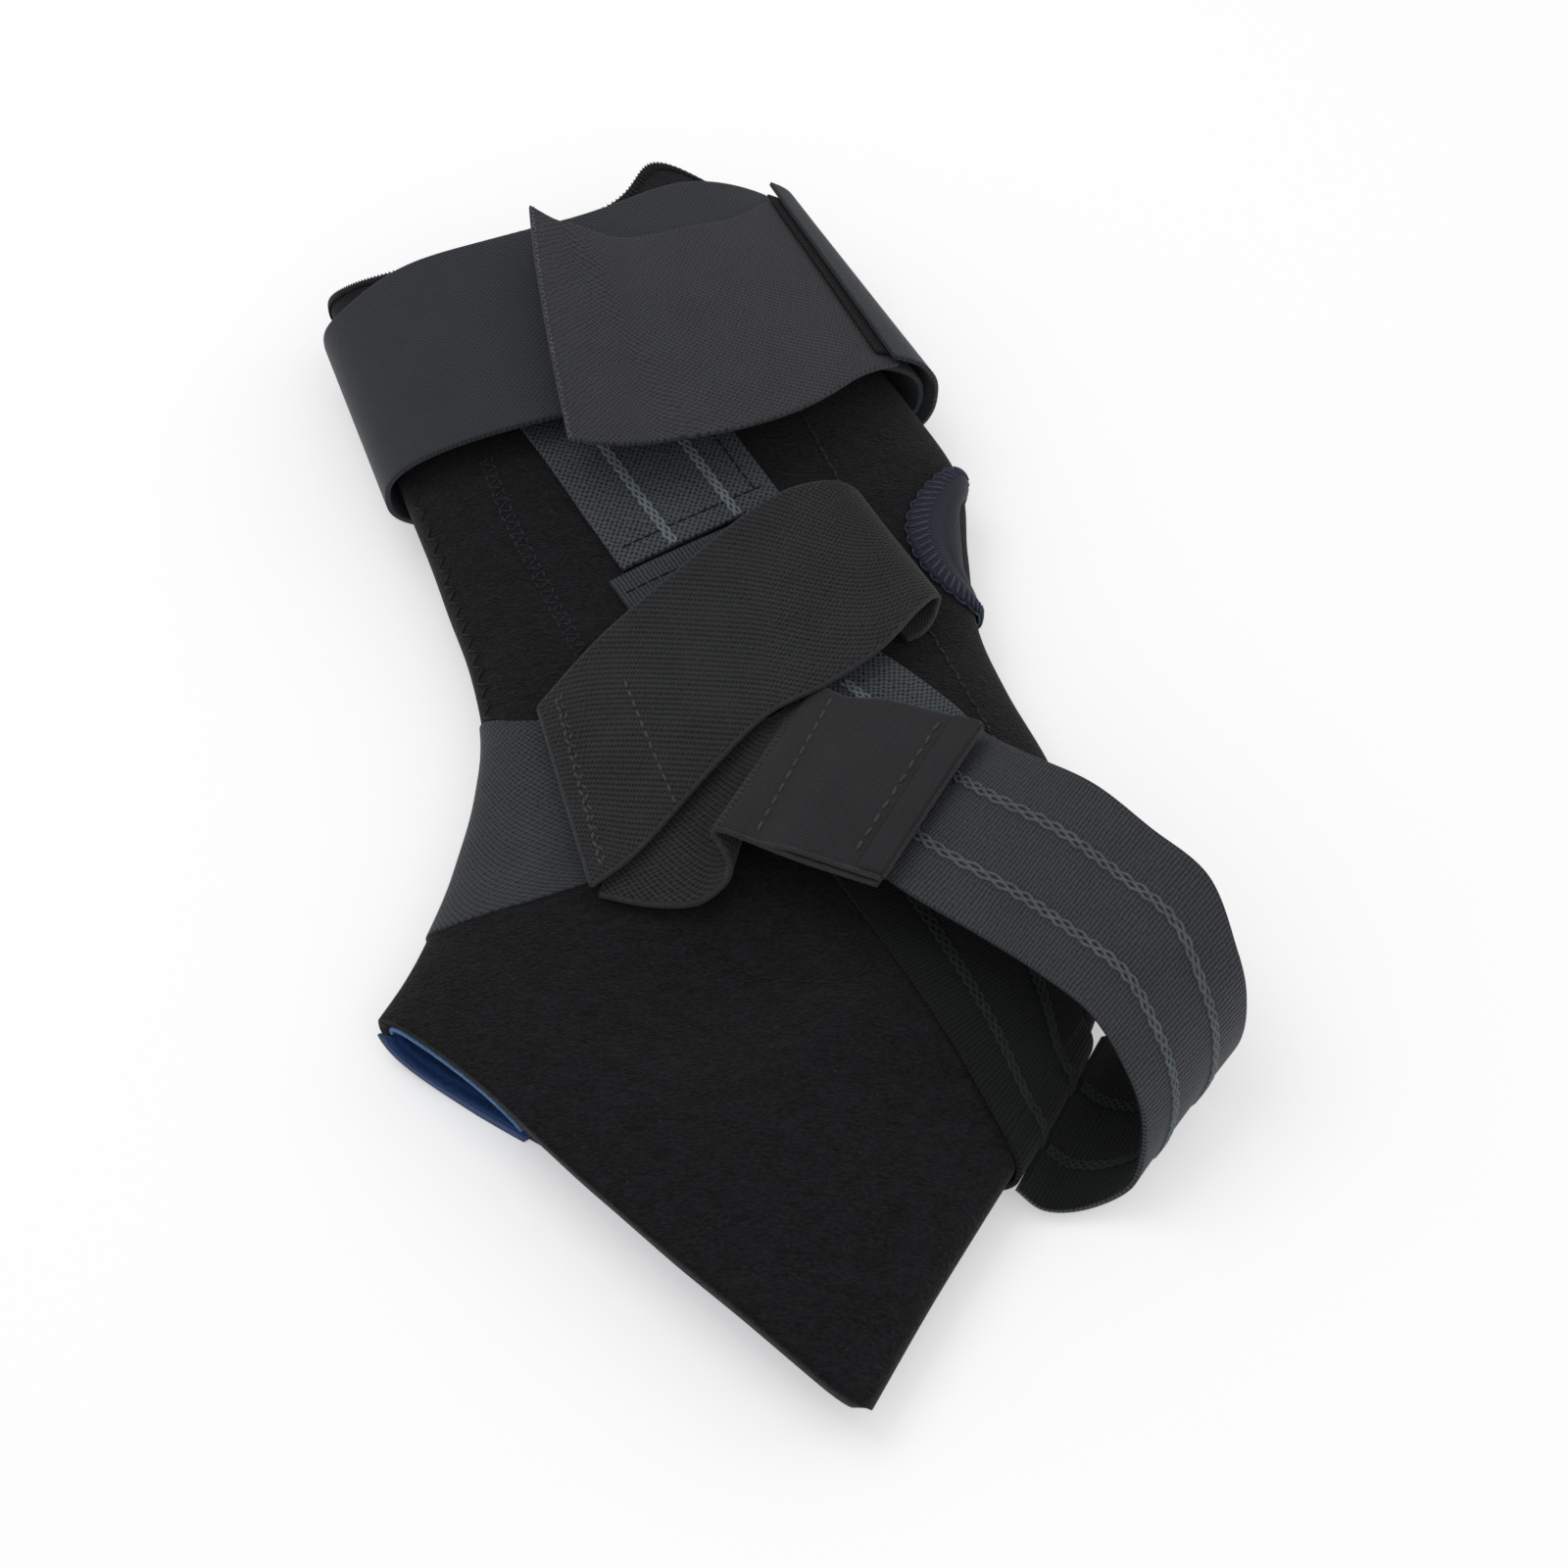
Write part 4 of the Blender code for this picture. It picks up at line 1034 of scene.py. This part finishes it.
@dataclass
class Webbing:
    """The webbing: the leg piece, its ribbon, the stirrup and the free loop."""

    sleeve: Sleeve
    stripe_shares: tuple[float, float] = (0.32, 0.72)

    def centred(self, table: Sequence[Row], width: float) -> list[Row]:
        """Edge rows of a strap of one width, from its middle line."""
        rows = []
        for x, y, heading in table:
            half = Vector((math.cos(math.radians(heading)), math.sin(math.radians(heading)))) * width / 2
            half /= BRACE_HEIGHT
            rows.append((x + half.x, y + half.y, x - half.x, y - half.y, 0.0, 0.0))
        return rows

    def draped(self, table: Sequence[Row], seat: float) -> Surface:
        """A strap that lies on the sleeve."""

        def place(across: float, along: float) -> Vector:
            ax, ay, bx, by, a_lift, b_lift = smooth_row(table, along * (len(table) - 1))
            x = (ax + (bx - ax) * across) * BRACE_HEIGHT
            y = (ay + (by - ay) * across) * BRACE_HEIGHT
            lift = (a_lift + (b_lift - a_lift) * across) * REST_HEIGHT
            return Vector((x, y, self.sleeve.ground(x, y) + seat + lift))

        return place

    def free(self, table: Sequence[Row], seat: float = 0.0) -> Surface:
        """A strap that stands clear, kept above the sleeve along its first rows."""

        def place(across: float, along: float) -> Vector:
            at = along * (len(table) - 1)
            row = smooth_row(table, at)
            far = Vector((row[0] * BRACE_HEIGHT, row[1] * BRACE_HEIGHT, row[2] * REST_HEIGHT))
            near = Vector((row[3] * BRACE_HEIGHT, row[4] * BRACE_HEIGHT, row[5] * REST_HEIGHT))
            point = far.lerp(near, across)
            if seat and at < 3:
                floor = self.sleeve.ground(point.x, point.y) + seat
                point.z = max(point.z, floor)
            return point

        return place

    def wrapped(self, seat: float) -> Surface:
        """The stirrup, draped on the sleeve and carried round the rear fold to its underside."""
        draped = self.draped(STIRRUP_ROWS, seat)
        ends = []
        for column in range(5):
            goal = draped(column / 4, 1.0)
            tries = ((place / 20, angle) for place in range(210, 280) for angle in range(4, 70, 2))
            place, angle = min(tries, key=lambda pair: (self.sleeve.surface(*pair, seat) - goal).length)
            ends.append((place, float(angle)))

        def place(across: float, along: float) -> Vector:
            if along <= 0.8:
                return draped(across, along / 0.8)
            at, angle = smooth_row(ends, across * 4)
            share = (along - 0.8) / 0.2
            return self.sleeve.surface(at + 0.35 * share, angle - (angle + 38.0) * share, seat)

        return place

    def braid(self, rows: bmesh.types.BMesh, laid: Laid, share: float, start: float, end: float) -> None:
        """Three wavy cords side by side that make one braided stripe.

        Args:
            rows: The mesh that receives the cords.
            laid: The strap.
            share: Place of the stripe across the strap.
            start: Share along where it begins.
            end: Share along where it ends.
        """
        length, width = laid.length(), laid.width()
        steps = int((end - start) * length / 0.00034)
        for cord in (-1, 0, 1):
            path = []
            for step in range(steps + 1):
                along = start + (end - start) * step / steps
                wave = math.sin(along * length / 0.0026 * 2 * math.pi) * (1 if cord else -1)
                across = share + (cord * 0.00064 + 0.00024 * wave) / width
                path.append(laid.spot(across, along, 0.00010))
            lay_cord(rows, path, 0.00034)

    def strap(self, name: str, node: str, surface: Surface, cloth: Cloth, wall: float, size: tuple[int, int],
              held: str, rests_on: Sequence[str]) -> None:
        """Make one strap.

        Args:
            name: Name of the piece.
            node: The solid that it stands for.
            surface: Its lower face.
            cloth: Its finish.
            wall: Its thickness.
            size: Faces across and along.
            held: How it is held; not used.
            rests_on: What it lies on; not used.
        """
        bm = cloth_grid(size[0], size[1], surface)
        bm.faces.ensure_lookup_table()
        bm.normal_update()
        first = Vector((0.0, 0.0, 0.0))
        for face in list(bm.faces)[: size[0] * 3]:
            first += face.normal
        if first.z < 0:
            bmesh.ops.reverse_faces(bm, faces=bm.faces)
        piece = make_piece(name, bm, cloth, (node,))
        declare_sheet(piece)
        thicken(piece, wall)

    def build(self) -> None:
        """Make all the webbing."""
        leg = self.draped(self.centred(LEG_WEBBING_ROWS, WEBBING_WIDTH), SEAT)
        self.strap("leg_strap", "leg_webbing", leg, MESH_CLOTH, WEBBING_WALL, (40, 60), "laid", ("sleeve_shell",))
        ribbon = self.draped(self.centred(END_RIBBON_ROWS, RIBBON_WIDTH), SEAT)
        self.strap("grosgrain_end", "end_ribbon", ribbon, RIBBON_CLOTH, RIBBON_WALL, (40, 20), "laid", ("sleeve_shell",))
        stirrup = self.wrapped(SEAT)
        # The stirrup's cloth is black webbing darkened further with painted shade where it lies under the loop.
        self.strap("stirrup_strap", "stirrup_webbing", stirrup, SHADE_DARKENED_WEBBING, WEBBING_WALL, (36, 110), "laid",
                   ("sleeve_shell",))
        loop = self.free(LOOP_ROWS, SEAT + WEBBING_WALL + SEAT)
        split = 0.19
        self.strap("loop_start", "loop_webbing", lambda across, along: loop(across, along * split), MESH_CLOTH,
                   WEBBING_WALL, (36, 50), "laid", ("stirrup_strap", "sleeve_shell"))
        self.strap("loop_strap", "loop_webbing", lambda across, along: loop(across, split + along * (1 - split)),
                   RIB_CLOTH, WEBBING_WALL, (36, 200), "folded", ("stirrup_strap", "sleeve_shell"))
        # A thin dark sheet just under the loop, in the stirrup's darkened cloth: painted shade on the loop's inner
        # face.
        inner = Laid(loop, 0.0, Vector((0.0, 0.0, -1.0)))
        self.strap("loop_inner_shade", "loop_webbing", lambda across, along: inner.spot(across, along, 0.0004) - PLACE,
                   SHADE_DARKENED_WEBBING, 0.0003, (36, 200), "folded", ("loop_strap",))
        stripes = bmesh.new()
        duller = bmesh.new()
        shaded = bmesh.new()
        legs, loops, stirrups = (Laid(surface, WEBBING_WALL) for surface in (leg, loop, stirrup))
        under = Laid(loop, 0.0004, Vector((0.0, 0.0, -1.0)))
        for share in self.stripe_shares:
            self.braid(stripes, legs, 1 - share, 0.02, 0.995)
            self.braid(stripes, loops, share, 0.02, 0.17)
            self.braid(duller, loops, share, 0.17, 0.85)
            self.braid(shaded, under, share, 0.55, 0.99)
            self.braid(shaded, stirrups, share, 0.02, 0.98)
        make_piece("webbing_stripes", stripes, STRIPE_THREAD)
        make_piece("loop_stripes", duller, DULL_THREAD)
        make_piece("inner_stripes", shaded, SHADED_THREAD)
        seams = bmesh.new()
        ribbons = Laid(ribbon, RIBBON_WALL)
        for laid, spots in (
            (legs, ((0.06, 0.895), (0.5, 0.895), (0.94, 0.895))),
            (legs, ((0.11, 0.30), (0.11, 0.60), (0.11, 0.895))),
            (ribbons, ((0.03, 0.30), (0.5, 0.30), (0.97, 0.30))),
        ):
            path, normals = laid.path(spots, 60, 0.00006)
            lay_stitches(seams, path, normals, 0.0024, 0.0001, 0.00026)
        make_piece("webbing_seams", seams, BLACK_THREAD)


@dataclass
class ElasticStrap:
    """The crossed elastic, its S fold and its patch."""

    webbing: Webbing

    def build(self) -> None:
        """Make the elastic layers and their stitching."""
        web = self.webbing
        upper = web.draped(ELASTIC_ROWS, 0.0)
        web.strap("elastic_upper", "elastic_strap", upper, ELASTIC_CLOTH, ELASTIC_WALL, (48, 150), "folded",
                  ("instep_knit", "loop_strap"))
        tail = self.widened(web.free(TAIL_ROWS))
        bm = cloth_grid(44, 150, tail)
        point_up(bm, Vector((0, 0, 1)))
        piece = make_piece("elastic_lower", bm, ELASTIC_CLOTH, ("elastic_tail",))
        declare_sheet(piece)
        thicken(piece, ELASTIC_WALL, 0.0)
        patch = self.doubled(tail, web.free(PATCH_ROWS))
        web.strap("patch_cloth", "elastic_patch", patch, PATCH_CLOTH, PATCH_WALL, (44, 60), "laid", ("elastic_lower",))
        face = Laid(patch, PATCH_WALL)
        web.strap("patch_hem", "elastic_patch", lambda across, along: face.spot(across, 0.90 + 0.10 * along, 0.0) - PLACE,
                  PATCH_CLOTH, 0.0008, (44, 8), "folded", ("patch_cloth",))
        self.roll_edges(Laid(upper, 0.0), Laid(tail, 0.0), Laid(patch, 0.0))
        self.sew(Laid(upper, ELASTIC_WALL), face)

    def widened(self, tail: Surface) -> Surface:
        """The lower layer, carried on under the upper one as far as the doubled end."""
        last = len(TAIL_ROWS) - 1

        def place(across: float, along: float) -> Vector:
            spread = 0.20 * (1.0 - soft_step(8.0 / last, 9.6 / last, along))
            hidden = spread * (1.0 - across)
            point = tail(across - hidden, along)
            point.z -= 0.0012 * hidden / 0.20
            return point

        return place

    def doubled(self, tail: Surface, patch: Surface) -> Surface:
        """The doubled end: it rises out of the strap behind the S fold and runs on to the loose end."""
        last = len(TAIL_ROWS) - 1
        start, end = 8.15 / last, 9.2 / last

        def place(across: float, along: float) -> Vector:
            if along < 0.3:
                low = tail(across, start + (end - start) * along / 0.3)
                return low + Vector((0.0, 0.0, ELASTIC_WALL / 2 - PATCH_WALL + 0.0002))
            share = (along - 0.3) / 0.7
            rise = soft_step(0.0, 0.5, share)
            low = tail(across, end + (1.0 - end) * share) + Vector((0.0, 0.0, ELASTIC_WALL / 2 - PATCH_WALL + 0.0002))
            return low.lerp(patch(across, share), rise)

        return place

    def roll_edges(self, upper: Laid, tail: Laid, patch: Laid) -> None:
        """Rounded selvedges of the elastic and its doubled end."""
        rolls = bmesh.new()
        for laid, across, start, end, radius, lift in (
            (upper, 1.0, 0.0, 1.0, 0.00067, ELASTIC_WALL / 2),
            (upper, 0.0, 0.0, 1.0, 0.00070, ELASTIC_WALL / 2),
            (tail, 1.0, 0.0, 1.0, 0.00067, 0.0),
            (tail, 0.0, 0.0, 1.0, 0.00070, 0.0),
            (patch, 1.0, 0.02, 1.0, 0.00070, PATCH_WALL / 2),
            (patch, 0.0, 0.02, 1.0, 0.00070, PATCH_WALL / 2),
        ):
            path, _ = laid.path(((across, start), (across, (start + end) / 2), (across, end)), 240, lift)
            lay_cord(rolls, path, radius)
        for laid, along, lift in ((upper, 0.0, ELASTIC_WALL / 2), (patch, 1.0, PATCH_WALL / 2)):
            path, _ = laid.path(((0.0, along), (0.5, along), (1.0, along)), 60, lift)
            lay_cord(rolls, path, 0.0007)
        make_piece("elastic_selvedges", rolls, SELVEDGE_CLOTH)

    def sew(self, upper: Laid, patch: Laid) -> None:
        """Stitch rows of the strap's hem, its loop and the doubled end."""
        rows = bmesh.new()
        last = len(ELASTIC_ROWS) - 1
        for laid, spots, stitch, gap, radius, swing in (
            (upper, ((0.05, 0.33 / last), (0.5, 0.33 / last), (0.96, 0.33 / last)), 0.0019, 0.0003, 0.00034, 16),
            (upper, ((0.05, 0.42 / last), (0.5, 0.42 / last), (0.96, 0.42 / last)), 0.0016, 0.0009, 0.00030, 30),
            (upper, ((0.28, 1.72 / last), (0.6, 1.92 / last), (1.00, 2.22 / last)), 0.0021, 0.0007, 0.00032, 4),
            (patch, ((0.03, 0.30), (0.5, 0.30), (0.97, 0.30)), 0.0027, 0.0009, 0.00036, 0),
            (patch, ((0.05, 0.86), (0.5, 0.86), (0.93, 0.86)), 0.0027, 0.0008, 0.00038, 6),
        ):
            path, normals = laid.path(spots, 60, 0.00005)
            lay_stitches(rows, path, normals, stitch, gap, radius, swing)
        make_piece("elastic_stitches", rows, ELASTIC_THREAD)


@dataclass
class Studio:
    """Pale floor, soft light and the camera."""

    distance: float = 0.560
    elevation: float = 50.0
    lens: float = 64.35

    def build(self) -> None:
        """Make the floor, the lights and the camera."""
        bm = bmesh.new()
        bmesh.ops.create_grid(bm, x_segments=1, y_segments=1, size=3.0)
        mesh = bpy.data.meshes.new("floor")
        bm.to_mesh(mesh)
        bm.free()
        floor = bpy.data.objects.new("floor", mesh)
        floor.location.z = -0.0002
        bpy.context.scene.collection.objects.link(floor)
        paint = bpy.data.materials.new("pale_floor")
        paint.use_nodes = True
        shader = paint.node_tree.nodes["Principled BSDF"]
        shader.inputs["Base Color"].default_value = linear("#ffffff")
        shader.inputs["Roughness"].default_value = 0.9
        shader.inputs["Emission Color"].default_value = linear("#ffffff")
        shader.inputs["Emission Strength"].default_value = 0.40
        mesh.materials.append(paint)
        bpy.context.scene.view_settings.view_transform = "Standard"
        world = bpy.data.worlds.new("studio") if not bpy.context.scene.world else bpy.context.scene.world
        bpy.context.scene.world = world
        world.use_nodes = True
        world.node_tree.nodes["Background"].inputs["Color"].default_value = (1.0, 1.0, 1.0, 1.0)
        world.node_tree.nodes["Background"].inputs["Strength"].default_value = 0.44
        self.light("key_light", (-0.45, 0.35, 0.95), 0.7, 1.75)
        self.light("front_light", (0.35, -0.75, 0.70), 0.8, 0.65)
        self.light("side_light", (0.85, 0.25, 0.50), 0.6, 0.40)
        aim = PLACE
        tilt = math.radians(self.elevation)
        view = bpy.data.cameras.new("photo_view")
        view.lens = self.lens
        view.sensor_width = 36.0
        camera = bpy.data.objects.new("photo_view", view)
        camera.location = aim + Vector((0.0, -self.distance * math.cos(tilt), self.distance * math.sin(tilt)))
        camera.rotation_euler = (math.pi / 2 - tilt, 0.0, 0.0)
        bpy.context.scene.collection.objects.link(camera)
        bpy.context.scene.camera = camera

    def light(self, name: str, place: Row, size: float, power: float) -> None:
        """Add one soft lamp that looks at the object.

        Args:
            name: The lamp's name.
            place: Where it stands.
            size: Side of its face.
            power: Its power in watts.
        """
        lamp = bpy.data.lights.new(name, "AREA")
        lamp.size = size
        lamp.energy = power
        holder = bpy.data.objects.new(name, lamp)
        holder.location = place
        holder.rotation_euler = (-Vector(place)).to_track_quat("-Z", "Y").to_euler()
        bpy.context.scene.collection.objects.link(holder)


def main() -> None:
    """Build the ankle support and its studio."""
    logging.basicConfig(level=logging.INFO, format="%(message)s")
    Studio().build()
    sleeve = Sleeve()
    sleeve.build()
    LegBand(sleeve).build()
    webbing = Webbing(sleeve)
    webbing.build()
    ElasticStrap(webbing).build()


if __name__ == "__main__":
    main()
